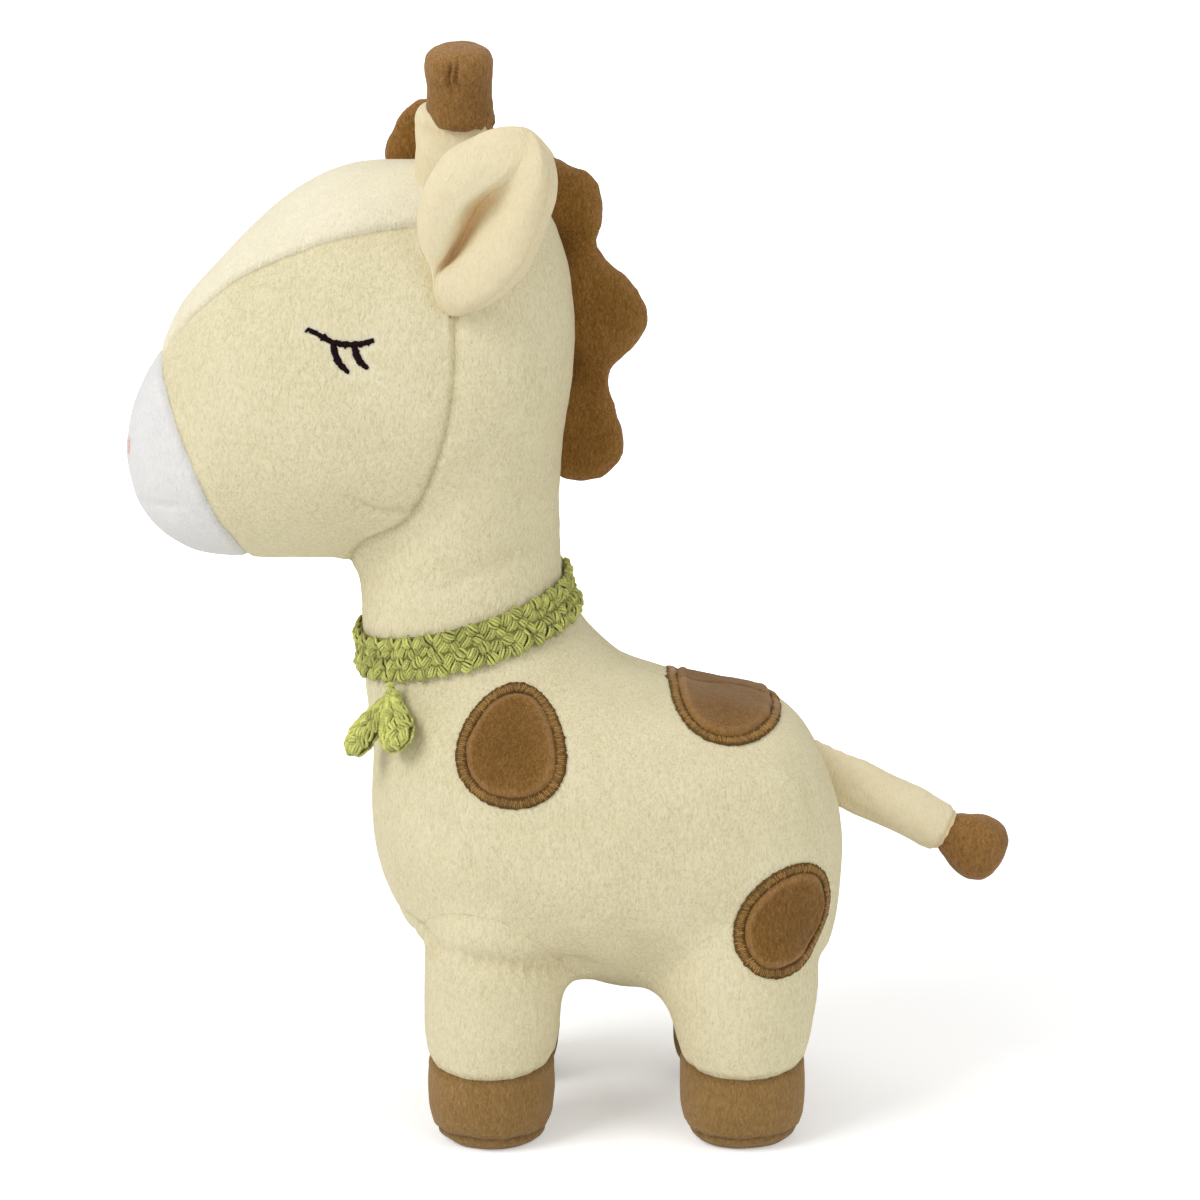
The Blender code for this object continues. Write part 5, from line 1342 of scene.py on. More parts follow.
class SKIN_OT_mane(bpy.types.Operator):
    """Stuff the scalloped mane"""
    bl_idname = "plush.mane"
    bl_label = "Mane"

    def execute(self, context):
        origin, size = np.array([MANE_FRONT_X, MANE_BASE_Z]), np.array([MANE_LENGTH, MANE_HEIGHT])
        outline = curve_through(np.array(MANE_OUTLINE_SHARES) * size + origin, 5, closed=True)
        rim = np.insert(outline, 1, 0, axis=1)
        depth = 0.004
        mane = loft("mane", [rim + (0, y, 0) for y in (-depth, depth)])
        apply_modifier(mane, "REMESH", mode="VOXEL", voxel_size=0.0020)
        relax(mane, 3)
        points = points_of(mane)
        away = distance_to(points * (1, 0, 1), rim)
        bulge = np.sqrt(1 - (1 - np.clip(away / 0.0125, 0, 1)) ** 2)
        half = 0.0011 + (MANE_THICKNESS / 2 - 0.0019) * bulge
        points[:, 1] = np.clip(points[:, 1] / depth, -1, 1) * half
        set_points(mane, points)
        swell(mane, np.flatnonzero(away < 0.0015), 0.0008)
        apply_modifier(mane, "SUBSURF", levels=2, render_levels=2)
        folds = []
        for valley in MANE_VALLEYS:
            first, last = np.array(valley) * size + origin
            for side in (-1, 1):
                line = [(first[0] * (1 - t) + last[0] * t, side * 0.0058 * min(1, t + 0.4),
                         first[1] * (1 - t) + last[1] * t) for t in (0, 0.33, 0.66, 1)]
                folds.append((line, MANE_VALLEY_WIDTH, MANE_VALLEY_DEPTH))
        pinch(mane, folds, 0.02)
        ripple(mane, [(0.014, 0.0012), (0.005, 0.0003)])
        mark_seam(mane, rim, 0.8)
        # Painted shade in the valleys between the scallops and a painted highlight along the rim.
        flat = points_of(mane) * (1, 0, 1)
        edge = distance_to(flat, rim)
        valley = distance_to(flat, np.concatenate([line for line, _, _ in folds]) * (1, 0, 1))
        shade_by(mane, 0.55 * np.exp(-(valley / 0.0060) ** 2) - 0.9 * np.exp(-(edge / 0.0036) ** 2))
        finish_piece(mane, mane_plush(), "toy", ["mane"])
        mane.name = "mane_cloth"
        return {"FINISHED"}


def tail_form(shares):
    """A form along the tail's middle line from rows of place, depth and width; its root sags."""
    turns = 2 * np.pi * np.arange(40) / 40
    rings = []
    for place, deep, wide in curve_through(shares, 4):
        sag = TAIL_UP * TAIL_SAG * np.clip(1 - place / 0.5, 0, 1)
        centre = np.array(TAIL_ROOT) + TAIL_ALONG * place * TAIL_LENGTH - sag
        ring = centre + np.outer(np.sin(turns), TAIL_UP) * max(deep, 0) * TAIL_DEPTH / 2
        ring[:, 1] += np.cos(turns) * max(wide, 0) * TAIL_WIDTH / 2
        rings.append(ring)
    return loft("tail", rings)


def tail_place(place, deep, turn):
    """A place on the tail: share of its length, reach as a share of its depth, and direction round it."""
    up = TAIL_UP * math.sin(turn) * deep * TAIL_DEPTH / 2
    centre = np.array(TAIL_ROOT) + TAIL_ALONG * place * TAIL_LENGTH + up
    return centre + np.array([0, math.cos(turn) * deep * TAIL_WIDTH / 2 * 1.4, 0])


class SKIN_OT_tail(bpy.types.Operator):
    """Stuff the tail's sleeve and its brown tuft"""
    bl_idname = "plush.tail"
    bl_label = "Tail"

    def execute(self, context):
        def rise(p):
            return (p - np.array(TAIL_ROOT)) @ TAIL_ALONG / TAIL_LENGTH

        seam = [tail_place(TAIL_SEAM_PLACE, 0.72, turn) for turn in SEAM_TURNS]
        for name, shares, node, look, slot in (
                ("tail_sleeve_cloth", TAIL_SLEEVE_SHARES, "tail_cover", lining_plush, "cream_plush"),
                ("tail_tuft_cloth", TAIL_TUFT_SHARES, "tail_tuft", brown_plush, "brown_plush")):
            piece = tail_form(shares)
            stuffed(piece, 0.0016, 0.0004,
                    lambda p: (rise(p) < 0.04) | (np.abs(rise(p) - TAIL_SEAM_PLACE) < 0.03))
            line, turns, depth, fade = TAIL_FOLDS[node]
            pinch(piece, [([tail_place(place, deep, turn) for place, deep in line], TAIL_FOLD_WIDTH, depth)
                          for turn in turns], fade)
            ripple(piece, [(0.010, 0.0005), (0.003, 0.00015)])
            mark_seam(piece, seam, 0.8)
            piece.name = name
            finish_piece(piece, look(), None, [node])
            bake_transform(piece)
        return {"FINISHED"}


def grid_faces(rows, columns):
    """Faces of a net of points, given row after row."""
    return [(a, a + 1, a + columns + 1, a + columns) for i in range(rows - 1)
            for a in range(i * columns, (i + 1) * columns - 1)]


class SKIN_OT_ears(bpy.types.Operator):
    """Fold the two ears, each an outer cloth and a lining, with the front lobe rolled over"""
    bl_idname = "plush.ears"
    bl_label = "Ears"

    def execute(self, context):
        steps = 4
        rings = ear_rings(steps)
        slits = np.array(EAR_ROWS)[:, (0, 6)] / 1000
        for label, side in SIDES:
            along = (Vector(EAR_ALONG) * Vector((1, side, 1))).normalized()
            out = Vector(EAR_OUT) * Vector((1, side, 1))
            out = (out - along * out.dot(along)).normalized()
            across = along.cross(out) * -side
            foot = np.array(EAR_FOOT) * (1, side, 1)
            ear = loft("ear", [ring @ np.array([across, out, along]) + foot for ring in rings])
            column = np.arange(len(ear.data.polygons)) % len(rings[0])
            lining = (column >= EAR_LINING_FROM * steps) & (column < EAR_LINING_TO * steps)
            for _ in ("back", "lining"):
                ear.data.materials.append(lining_plush())
            ear.data.polygons.foreach_set("material_index", lining.astype(int))
            apply_modifier(ear, "SUBSURF", levels=1, render_levels=1)
            relax(ear, 3)
            ripple(ear, [(0.012, 0.0006), (0.004, 0.0001)])
            index = np.empty(len(ear.data.polygons), int)
            ear.data.polygons.foreach_get("material_index", index)
            names = np.where(index == 1, "ear_lining_", "ear_back_")
            places, depths = seam_points(ear, names, lambda first, second: EAR_SEAM_DEPTH)
            local = (points_of(ear) - foot) @ np.array([across, out, along]).T
            draw_in_seams(ear, places, depths)
            self.warm_fold(ear, local, slits)
            for name, panel in split_panels(ear, names, EAR_CLOTH).items():
                finish_piece(panel, lining_plush(), None, [name + label])
                panel.name = "skin_" + name + label
                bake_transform(panel)
            discard(ear)
        return {"FINISHED"}

    def warm_fold(self, ear, local, slits):
        """Paint warm shade on the pile deep in the slit between the lobes, from the foot's end to below the
        tip.
        """
        across, out, along = local.T
        fold = np.exp(-((across - np.interp(along, *slits.T) - 0.0002) / 0.0023) ** 2)
        fold = fold * np.clip((0.0048 - out) / 0.0050, 0, 1) * np.clip((along - 0.007) / 0.003, 0, 1)
        fold *= np.clip((0.043 - along) / 0.005, 0, 1)
        # Painted warm shade deep in the slit.
        shade_by(ear, fold * 1.3 * (out > -0.0032))


# Embroidery

def tubes(name, paths, outs, radius, twist=0.0, lobe=1.0, sides=6, taper=0.25, seed=1):
    """Threads along paths, drawn to a point at both ends; a twist with lobes makes a plied yarn."""
    paths = np.asarray(paths, float)
    count, steps = paths.shape[:2]
    run = np.gradient(paths, axis=1)
    run /= np.linalg.norm(run, axis=2, keepdims=True)
    aside = np.cross(run, np.broadcast_to(outs, paths.shape))
    aside /= np.maximum(np.linalg.norm(aside, axis=2, keepdims=True), 1e-9)
    up = np.cross(aside, run)
    length = np.zeros((count, steps))
    length[:, 1:] = np.cumsum(np.linalg.norm(np.diff(paths, axis=1), axis=2), axis=1)
    share = np.linspace(0, 1, steps)
    size = radius * np.maximum(np.clip(np.minimum(share, 1 - share) / taper, 0, 1) ** 0.5, 0.08)
    turn = 2 * np.pi * np.arange(sides) / sides + twist * length[:, :, None]
    reach = size[None, :, None] * np.where(np.arange(sides) % 2, lobe, 1.0)
    across, upward = (reach * np.cos(turn))[..., None], (reach * np.sin(turn))[..., None]
    ring = across * aside[:, :, None] + upward * up[:, :, None]
    points = (paths[:, :, None] + ring).reshape(-1, 3)
    index = np.arange(count * steps * sides).reshape(count, steps, sides)
    around = np.roll(index, -1, axis=2)
    quads = np.stack([index[:, :-1], index[:, 1:], around[:, 1:], around[:, :-1]], axis=-1).reshape(-1, 4)
    faces = [tuple(face) for face in quads.tolist()]
    faces += [tuple(cap) for cap in index[:, 0].tolist()]
    faces += [tuple(cap[::-1]) for cap in index[:, -1].tolist()]
    obj = new_piece(name, points, faces)
    store(obj, "tone", np.repeat(np.random.default_rng(seed).random(count), steps * sides))
    return obj


def sewn_tree():
    if "tree" not in SEWN:
        raise RuntimeError("the body's skin is sewn before what lies on it")
    return SEWN["tree"]


def on_skin(origin, direction):
    """Where a ray meets the skin and the normal there."""
    place, normal = sewn_tree().ray_cast(Vector(origin), Vector(direction))[:2]
    if place is None:
        place, normal = sewn_tree().find_nearest(Vector(origin))[:2]
    return np.array(place), np.array(normal)


def side_curve(points, side):
    """A curve drawn in the side view, laid on the skin of one side."""
    return np.array([on_skin((x, side * 0.2, z), (0, -side, 0))[0] for x, z in points])


def even(points, pitch):
    """The same curve with evenly spaced points."""
    length = np.concatenate([[0], np.cumsum(np.linalg.norm(np.diff(points, axis=0), axis=1))])
    count = max(int(length[-1] / pitch), 2)
    places = np.linspace(0, length[-1], count + 1)
    return np.stack([np.interp(places, length, points[:, axis]) for axis in range(3)], axis=1)


def skin_frame(curve, closed):
    """Run, normal and sideways direction at each point of a curve on the skin."""
    normals = np.array([sewn_tree().find_nearest(Vector(point))[1][:] for point in curve])
    for _ in range(6):
        if closed:
            normals = normals + np.roll(normals, 1, axis=0) + np.roll(normals, -1, axis=0)
        else:
            padded = np.concatenate([normals[:1], normals, normals[-1:]])
            normals = padded[:-2] + padded[1:-1] + padded[2:]
        normals /= np.linalg.norm(normals, axis=1, keepdims=True)
    if closed:
        run = np.roll(curve, -1, axis=0) - np.roll(curve, 1, axis=0)
    else:
        run = np.gradient(curve, axis=0)
    run /= np.linalg.norm(run, axis=1, keepdims=True)
    aside = np.cross(normals, run)
    return run, normals, aside / np.linalg.norm(aside, axis=1, keepdims=True)


def satin(name, curve, width, closed, material, under, lift=0.0005, widths=None, seed=3, jag=0.07,
          under_share=0.96):
    """Satin stitch along a curve: stitches laid across it over an underlay darkened as painted shade."""
    pitch = settings().thread_pitch
    curve = even(curve, pitch)
    if closed:
        curve = curve[:-1]
    run, normals, aside = skin_frame(curve, closed)
    chance = np.random.default_rng(seed)
    count = len(curve)
    wide = np.full(count, width)
    if widths is not None:
        wide = np.interp(np.linspace(0, 1, count), *zip(*widths)) * width
    wide = wide * (1 + chance.normal(0, jag, count))
    shift = chance.normal(0, 0.00011, count)[:, None] * aside
    slant = chance.normal(0, 0.00012, count)
    share = np.array([-1, -0.80, -0.3, 0.3, 0.80, 1])
    rise = np.array([-0.5, 0.45, 0.95, 0.95, 0.45, -0.5]) * lift
    paths = ((curve + shift)[:, None] + share[:, None] * (aside * wide[:, None] / 2)[:, None]
             + rise[:, None] * normals[:, None] + (share[:, None] * slant[:, None, None]) * run[:, None])
    bars = tubes(name, paths, normals[:, None], pitch * 0.53, sides=5, taper=0.2, seed=seed)
    finish_piece(bars, material, "toy")
    # The underlay ribbon is painted shade that shows between the stitches and along the border's edges.
    edge = under_share + 0.16 * chance.random((count, 2))
    across = np.array([-1.0, -0.55, 0.0, 0.55, 1.0])
    height = np.array([0.06, 0.42, 0.55, 0.42, 0.06]) * lift + 0.00004
    grid = (curve[:, None] + across[:, None] * (aside * (wide / 2)[:, None])[:, None]
            * np.where(across < 0, edge[:, :1], edge[:, 1:])[:, :, None] + height[:, None] * normals[:, None])
    if closed:
        grid = np.concatenate([grid, grid[:1]])
    ribbon = new_piece("under_" + name, grid.reshape(-1, 3), grid_faces(len(grid), len(across)))
    thicken(ribbon, 0.0003)
    if closed:
        apply_modifier(ribbon, "WELD", merge_threshold=0.00001)
    finish_piece(point_out(ribbon), under, "toy")
    return bars


class Egg:
    """An egg-shaped outline in the side view, narrower at its top and turned by a tilt."""

    def __init__(self, x, z, height, width, tilt=0.0, taper=0.16):
        self.centre, self.half, self.taper = (x, z), (height / 2, width / 2), taper
        self.turn = (math.cos(math.radians(tilt)), math.sin(math.radians(tilt)))

    def outline(self, grow, count=360):
        angle = 2 * np.pi * np.arange(count + 1) / count
        rise = (self.half[0] + grow) * np.sin(angle)
        out = (self.half[1] + grow) * np.cos(angle) * (1 - self.taper * np.sin(angle))
        return np.stack([self.centre[0] + out * self.turn[0] + rise * self.turn[1],
                         self.centre[1] - out * self.turn[1] + rise * self.turn[0]], axis=1)

    def field(self, a, b, grow=0.0):
        """Below 0 inside the outline, roughly in metres."""
        along, up = a - self.centre[0], b - self.centre[1]
        out = along * self.turn[0] - up * self.turn[1]
        rise = (along * self.turn[1] + up * self.turn[0]) / (self.half[0] + grow)
        out = out / ((self.half[1] + grow) * (1 - self.taper * np.clip(rise, -1, 1)))
        return (np.hypot(rise, out) - 1) * min(self.half)


PATCHES = {
    "shoulder_patch": Egg(-0.0147, 0.1084, 0.0304, 0.0280, 8, 0.20),
    "back_patch": Egg(0.0430, 0.1212, 0.0280, 0.0338, 0, 0.0),
    "thigh_patch": Egg(0.0560, 0.0628, 0.0308, 0.0244, 32, 0.12),
}
SHIN_PATCH = Egg(LEG_Y, 0.0355, 0.0140, 0.0140)


def cut_patch(name, node, field, side):
    """Copy the skin inside an outline and raise it like a piece of plush sewn on."""
    points, faces = SEWN["points"], SEWN["faces"]
    near = (field(points) < 0.0045) & (points[:, 1] * side > -0.003)
    used, kept = renumbered([face for face in faces if all(near[v] for v in face)])
    patch = new_piece(name, points[used], kept)

    def zone(p):
        return np.where((field(p) < 0) & (p[:, 1] * side > 0), "in", "out")

    apply_modifier(patch, "SUBSURF", levels=1, render_levels=1, subdivision_type="SIMPLE")
    cut_lines(patch, [field, side_field], zone)
    bm = bmesh.new()
    bm.from_mesh(patch.data)
    bm.faces.ensure_lookup_table()
    inside = zone(np.array([face.calc_center_median()[:] for face in bm.faces])) == "in"
    bmesh.ops.delete(bm, geom=[bm.faces[i] for i in np.flatnonzero(~inside)], context="FACES")
    rim = [vert.co[:] for vert in bm.verts if vert.is_boundary and vert.co.y * side > 0.0004]
    bm.to_mesh(patch.data)
    bm.free()
    points, normals = points_of(patch), normals_of(patch)
    away = distance_to(points, rim)
    lift = 0.00012 + 0.0009 * (1 - np.exp(-(away / 0.0013) ** 2))
    lift = lift + 0.0004 * np.exp(-((away - 0.0020) / 0.0010) ** 2)
    lift = lift * (1 - 0.8 * np.exp(-(points[:, 1] / 0.0011) ** 2))
    set_points(patch, points + normals * lift[:, None])
    # Painted light on the patch: shade at its very edge, a painted highlight along the raised rim, and darker
    # towards the middle.
    shade = 0.5 * np.exp(-(away / 0.0005) ** 2) - 1.1 * np.exp(-((away - 0.0014) / 0.0010) ** 2)
    store(patch, "seam", shade + 0.25 * np.clip((away - 0.004) / 0.005, 0, 1))
    ripple(patch, [(0.008, 0.0004), (0.0025, 0.00012)])
    thicken(patch, 0.0010)
    finish_piece(patch, patch_plush(), "toy", [node])


# Above this height the back patch's outline lies over the seam along the back
BACK_PATCH_TOP_Z = 0.1255


def back_border(outline, side):
    """Border of the back patch on one side, from the seam along the back round to the seam again."""
    places = [on_skin((x, side * 0.2, z), (0, -side, 0))[0] if z < BACK_PATCH_TOP_Z else None
              for x, z in outline]
    kept = [i for i, place in enumerate(places)
            if place is not None and place[1] * side > 0.0006 and abs(place[0] - outline[i][0]) < 1e-4]
    gaps = np.diff([kept[-1] - len(outline)] + kept)
    start = int(np.argmax(gaps))
    kept = kept[start:] + kept[:start]
    curve = np.array([places[i] for i in kept])
    for tip, inward in ((0, curve[0] - curve[8]), (-1, curve[-1] - curve[-9])):
        inward = inward / np.linalg.norm(inward)
        reach = abs(curve[tip][1]) / max(abs(inward[1]), 0.3)
        steps = [curve[tip] + inward * reach * share for share in np.linspace(0.1, 1, 10)]
        steps = [np.array(sewn_tree().find_nearest(Vector(step))[0]) for step in steps]
        curve = np.concatenate([steps[::-1], curve] if tip == 0 else [curve, steps])
    curve[:, 1] = np.where(curve[:, 1] * side < 0.0003, side * 0.0003, curve[:, 1])
    return curve


class SKIN_OT_patches(bpy.types.Operator):
    """Sew on the brown patches with their satin borders"""
    bl_idname = "plush.patches"
    bl_label = "Patches"

    def execute(self, context):
        toy = settings()
        half = toy.satin_width / 2
        for name, egg in PATCHES.items():
            for label, side in SIDES:
                cut_patch("cloth_%s_%s" % (name, label), name + "_" + label,
                          lambda p, egg=egg: egg.field(p[:, 0], p[:, 2], -1.6 * half), side)
                outline = egg.outline(-half, 1500)
                closed = name != "back_patch"
                curve = side_curve(outline, side) if closed else back_border(outline, side)
                satin("satin_%s_%s" % (name, label), curve, toy.satin_width, closed,
                      satin_thread(), dark_thread())

        def shin_field(p):
            inner = p[:, 0] - LEG_XS["rear"] + 0.004
            return np.maximum(SHIN_PATCH.field(p[:, 1], p[:, 2], -0.7 * half), inner)

        cut_patch("cloth_shin_patch", "shin_patch", shin_field, 1)
        ring = np.array([on_skin((0.012, y, z), (1, 0, 0))[0] for y, z in SHIN_PATCH.outline(-0.2 * half)])
        satin("satin_shin_patch", ring, toy.satin_width * 0.8, True, satin_thread(), dark_thread())
        return {"FINISHED"}


class SKIN_OT_face(bpy.types.Operator):
    """Embroider the closed eyes and the nostrils"""
    bl_idname = "plush.face"
    bl_label = "Embroidered Face"

    def execute(self, context):
        for label, side in SIDES:
            cotton = eye_thread()
            lid, *lashes = eye_lines()
            pieces = [satin("lid_" + label, side_curve(lid, side), 0.00142, False, cotton, cotton, 0.00045,
                            widths=LID_WIDTHS, jag=0.22, under_share=0.62)]
            for number, lash in enumerate(lashes):
                pieces.append(satin("lash_%d_%s" % (number, label), side_curve(lash, side), 0.00172, False,
                                    cotton, cotton, 0.00040, widths=LASH_WIDTHS, seed=5 + number, jag=0.14,
                                    under_share=0.70))
            eye = join("eye_thread_" + label, pieces)
            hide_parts("eye_" + label)
            paths, outs = [], []
            for rise in np.linspace(-0.0020, 0.0020, 12):
                reach = NOSTRIL_HALF_WIDTH * math.sqrt(1 - (rise / NOSTRIL_HALF_HEIGHT) ** 2)
                line = [on_skin((-0.2, side * NOSTRIL_Y + y, NOSTRIL_Z + rise), (1, 0, 0))
                        for y in np.linspace(-reach, reach, 6)]
                lift = np.array([-0.6, 0.5, 0.9, 0.9, 0.5, -0.6]) * 0.0003
                paths.append([place + normal * up for (place, normal), up in zip(line, lift)])
                outs.append([normal for _, normal in line])
            nostril = tubes("nostril_thread_" + label, paths, np.array(outs), 0.00022, sides=5, taper=0.2)
            finish_piece(nostril, nose_thread(), "toy", ["nostril_" + label])
        return {"FINISHED"}


# Crochet

KNOT_ANGLE, KNOT_RADIUS = math.radians(226), 0.0028
LEAF_LEAN, LEAF_THICKNESS = math.radians(27), 0.0056
# How far each leaf is turned aside, its length and its width
LEAVES = {"front": (0.44, 0.0208, 0.0084), "rear": (-0.64, 0.0184, 0.0106)}
LEAF_SHARES = [
    (0.00, 0.00, 0.00), (0.03, 0.18, 0.34), (0.20, 0.46, 0.74), (0.50, 0.86, 1.00), (0.74, 1.00, 1.00),
    (0.92, 0.70, 0.78), (1.00, 0.00, 0.00),
]
# Section of the band under the stitches: height as a share of the collar's, and distance from the cloth
BAND_SECTION = [
    (-0.46, 0.0004), (-0.44, 0.0012), (-0.20, 0.0015), (0.20, 0.0015), (0.44, 0.0012), (0.46, 0.0004),
    (0.20, 0.0002), (-0.20, 0.0002), (-0.46, 0.0004),
]
BAND_STEPS, STITCH_ROWS, STITCH_ROW_PITCH = 181, 4, 0.00262
# Lanes of stitches along a leaf: place across it and slant
LEAF_LANES, LEAF_STITCHES = ((-0.68, -0.50), (0, 0.60), (0.68, 0.50)), 7


def collar_table():
    """Distance of the skin from the neck's middle line, for heights and directions round the collar."""
    x = NECK_FRONT_X + NECK_DEPTH / 2
    table = []
    for rise in np.linspace(-0.5, 0.5, 5):
        ring = []
        for angle in 2 * np.pi * np.arange(90) / 90:
            way = np.array([math.cos(angle), math.sin(angle), 0])
            reach = 0.028
            for _ in range(3):
                height = collar_height(x + way[0] * reach, way[1] * reach) + rise * COLLAR_HEIGHT
                start = np.array([x, 0, height]) + way * 0.06
                reach = np.linalg.norm((on_skin(start, -way)[0] - (x, 0, height))[:2])
            ring.append(reach)
        ring = np.array(ring)
        for _ in range(4):
            ring = (ring + np.roll(ring, 1) + np.roll(ring, -1)) / 3
        table.append(ring)
    return np.array(table)


def collar_place(table, angle, rise, out):
    """A place on the collar: direction round the neck, height from its middle and distance from the cloth."""
    x = NECK_FRONT_X + NECK_DEPTH / 2
    angle, rise = np.asarray(angle, float), np.asarray(rise, float)
    column = (angle / (2 * np.pi) * 90) % 90
    low = np.floor(column).astype(int) % 90
    part = column - np.floor(column)
    level = np.clip(rise + 0.5, 0, 0.9999) * 4
    row = np.floor(level).astype(int)
    blend = level - row
    reach = 0
    for r, share in ((row, 1 - blend), (row + 1, blend)):
        reach = reach + share * (table[r, low] * (1 - part) + table[r, (low + 1) % 90] * part)
    reach = reach + out
    place = np.stack([x + np.cos(angle) * reach, np.sin(angle) * reach, angle * 0], axis=-1)
    place[..., 2] = collar_height(place[..., 0], place[..., 1]) + rise * COLLAR_HEIGHT
    return place


def stitch_loops(name, surface, centres, length, width, strands, low, dome, radius, seed):
    """Crochet stitches on a surface: each is a bundle of strands that spread and rise in its middle.

    A centre has its place along both directions of the surface, an extra height and a slant."""
    chance = np.random.default_rng(seed)
    centres = np.repeat(np.array(centres), strands, axis=0)
    count = len(centres)
    lane = np.tile(np.linspace(-1, 1, strands), count // strands)[:, None]
    t = np.linspace(-1, 1, 9)[None]
    slant = centres[:, 3:] + np.repeat(chance.normal(0, 0.20, count // strands), strands)[:, None]
    run = t * length / 2 * (1 + chance.normal(0, 0.06, count))[:, None]
    side = lane * width / 2 * np.cos(t * 1.05) + chance.normal(0, 0.00008, count)[:, None]
    u = centres[:, :1] + run * np.sin(slant) + side * np.cos(slant)
    v = centres[:, 1:2] + run * np.cos(slant) - side * np.sin(slant)
    h = low + (dome + centres[:, 2:3]) * np.cos(t * 1.3) * (1 - 0.30 * lane ** 2)
    h = h + chance.normal(0, 0.0001, count)[:, None]
    paths, outs = surface(u, v, h)
    return tubes(name, paths, outs, radius, twist=3300, lobe=0.70, sides=6, taper=0.12, seed=seed)


class SKIN_OT_collar(bpy.types.Operator):
    """Crochet the collar"""
    bl_idname = "plush.collar"
    bl_label = "Crocheted Collar"

    def execute(self, context):
        toy = settings()
        table = collar_table()
        turns = 2 * np.pi * np.arange(BAND_STEPS) / (BAND_STEPS - 1)
        # The band under the stitches is yarn painted darker, as the shade that shows in the gaps between
        # them.
        grid = np.array([collar_place(table, turns, np.full(BAND_STEPS, rise), out)
                         for rise, out in BAND_SECTION])
        band = new_piece("collar_band_shaded", grid.transpose(1, 0, 2).reshape(-1, 3),
                         grid_faces(BAND_STEPS, len(BAND_SECTION)))
        apply_modifier(band, "WELD", merge_threshold=0.00002)
        finish_piece(point_out(band), yarn(0.55), "toy")
        reach = table[2].mean()
        columns = int(round(reach * 2 * math.pi / toy.crochet_pitch / 2)) * 2
        pitch = reach * 2 * math.pi / columns
        centres = []
        for row in range(STITCH_ROWS):
            for column in range(columns):
                height = (row - 1.5) * STITCH_ROW_PITCH + (0.0003 if column % 2 else -0.0003)
                slant = (1 if (column + row) % 2 else -1) * 0.55
                centres.append(((column + 0.5 * row) * pitch, height, 0.0004 * (column % 2), slant))

        def surface(u, v, h):
            angle = u / reach
            return (collar_place(table, angle, v / COLLAR_HEIGHT, h),
                    np.stack([np.cos(angle), np.sin(angle), angle * 0], axis=-1))

        stitches = stitch_loops("collar_stitches", surface, centres, 0.0038, 0.0021, 4, 0.0007, 0.0017,
                                0.00050, 11)
        finish_piece(stitches, yarn(), "toy", ["collar"])
        return {"FINISHED"}


def frame_joint(name):
    for joint in frame["record"]["behaviour"]["joints"]:
        if joint["name"] == name:
            return joint["pos_m"]
    raise RuntimeError("no joint named " + name)


# Windings of the knot: how far each leans and how wide it is; and the steps along a strand
WINDINGS = [(0.0, 1.0), (0.5, 0.85), (-0.5, 0.85), (0.25, 0.6), (-0.25, 0.6)]
STRAND_STEPS = 14


def tie_knot(centre, out, tangent):
    """Wind yarn round a core and lay two strands up to the collar."""
    t = np.linspace(0, 1, STRAND_STEPS)
    paths, outs = [], []
    for number, (lean, wide) in enumerate(WINDINGS):
        axis = math.cos(lean) * tangent + math.sin(lean) * np.array([0, 0, 1])
        other = np.cross(axis, out)
        shift = axis * (number - 2) * 0.0007
        angle = 2 * np.pi * t + number
        ring = np.outer(np.cos(angle), out) + np.outer(np.sin(angle), other)
        paths.append(centre + shift + ring * KNOT_RADIUS * 0.50 * (0.75 + 0.25 * wide))
        outs.append(ring)
    rope = np.linspace(-1, 1, STRAND_STEPS)
    for step in (-1, 1):
        line = centre + np.outer(rope * 0.5 + 0.5, [0, 0, 0.0040])
        line = line + np.outer(np.ones(STRAND_STEPS), tangent * step * 0.0007)
        paths.append(line + np.outer(0.0006 * np.sin(rope * 5), tangent) + out * 0.0004)
        outs.append(np.tile(out, (STRAND_STEPS, 1)))
    knot = tubes("knot_yarn", paths, np.array(outs), 0.00078, twist=2600, lobe=0.72, sides=6, taper=0.08,
                 seed=4)
    deselect()
    bpy.ops.mesh.primitive_uv_sphere_add(segments=20, ring_count=12, radius=KNOT_RADIUS * 0.55,
                                         location=centre)
    core = bpy.context.object
    core.name = "knot_core_shaded"
    bpy.ops.object.transform_apply(location=True, rotation=True, scale=True)
    # The core is yarn painted darker, as the shade deep among the windings.
    finish_piece(core, yarn(0.55), "toy")
    finish_piece(knot, yarn(), "toy", ["bow_knot"])


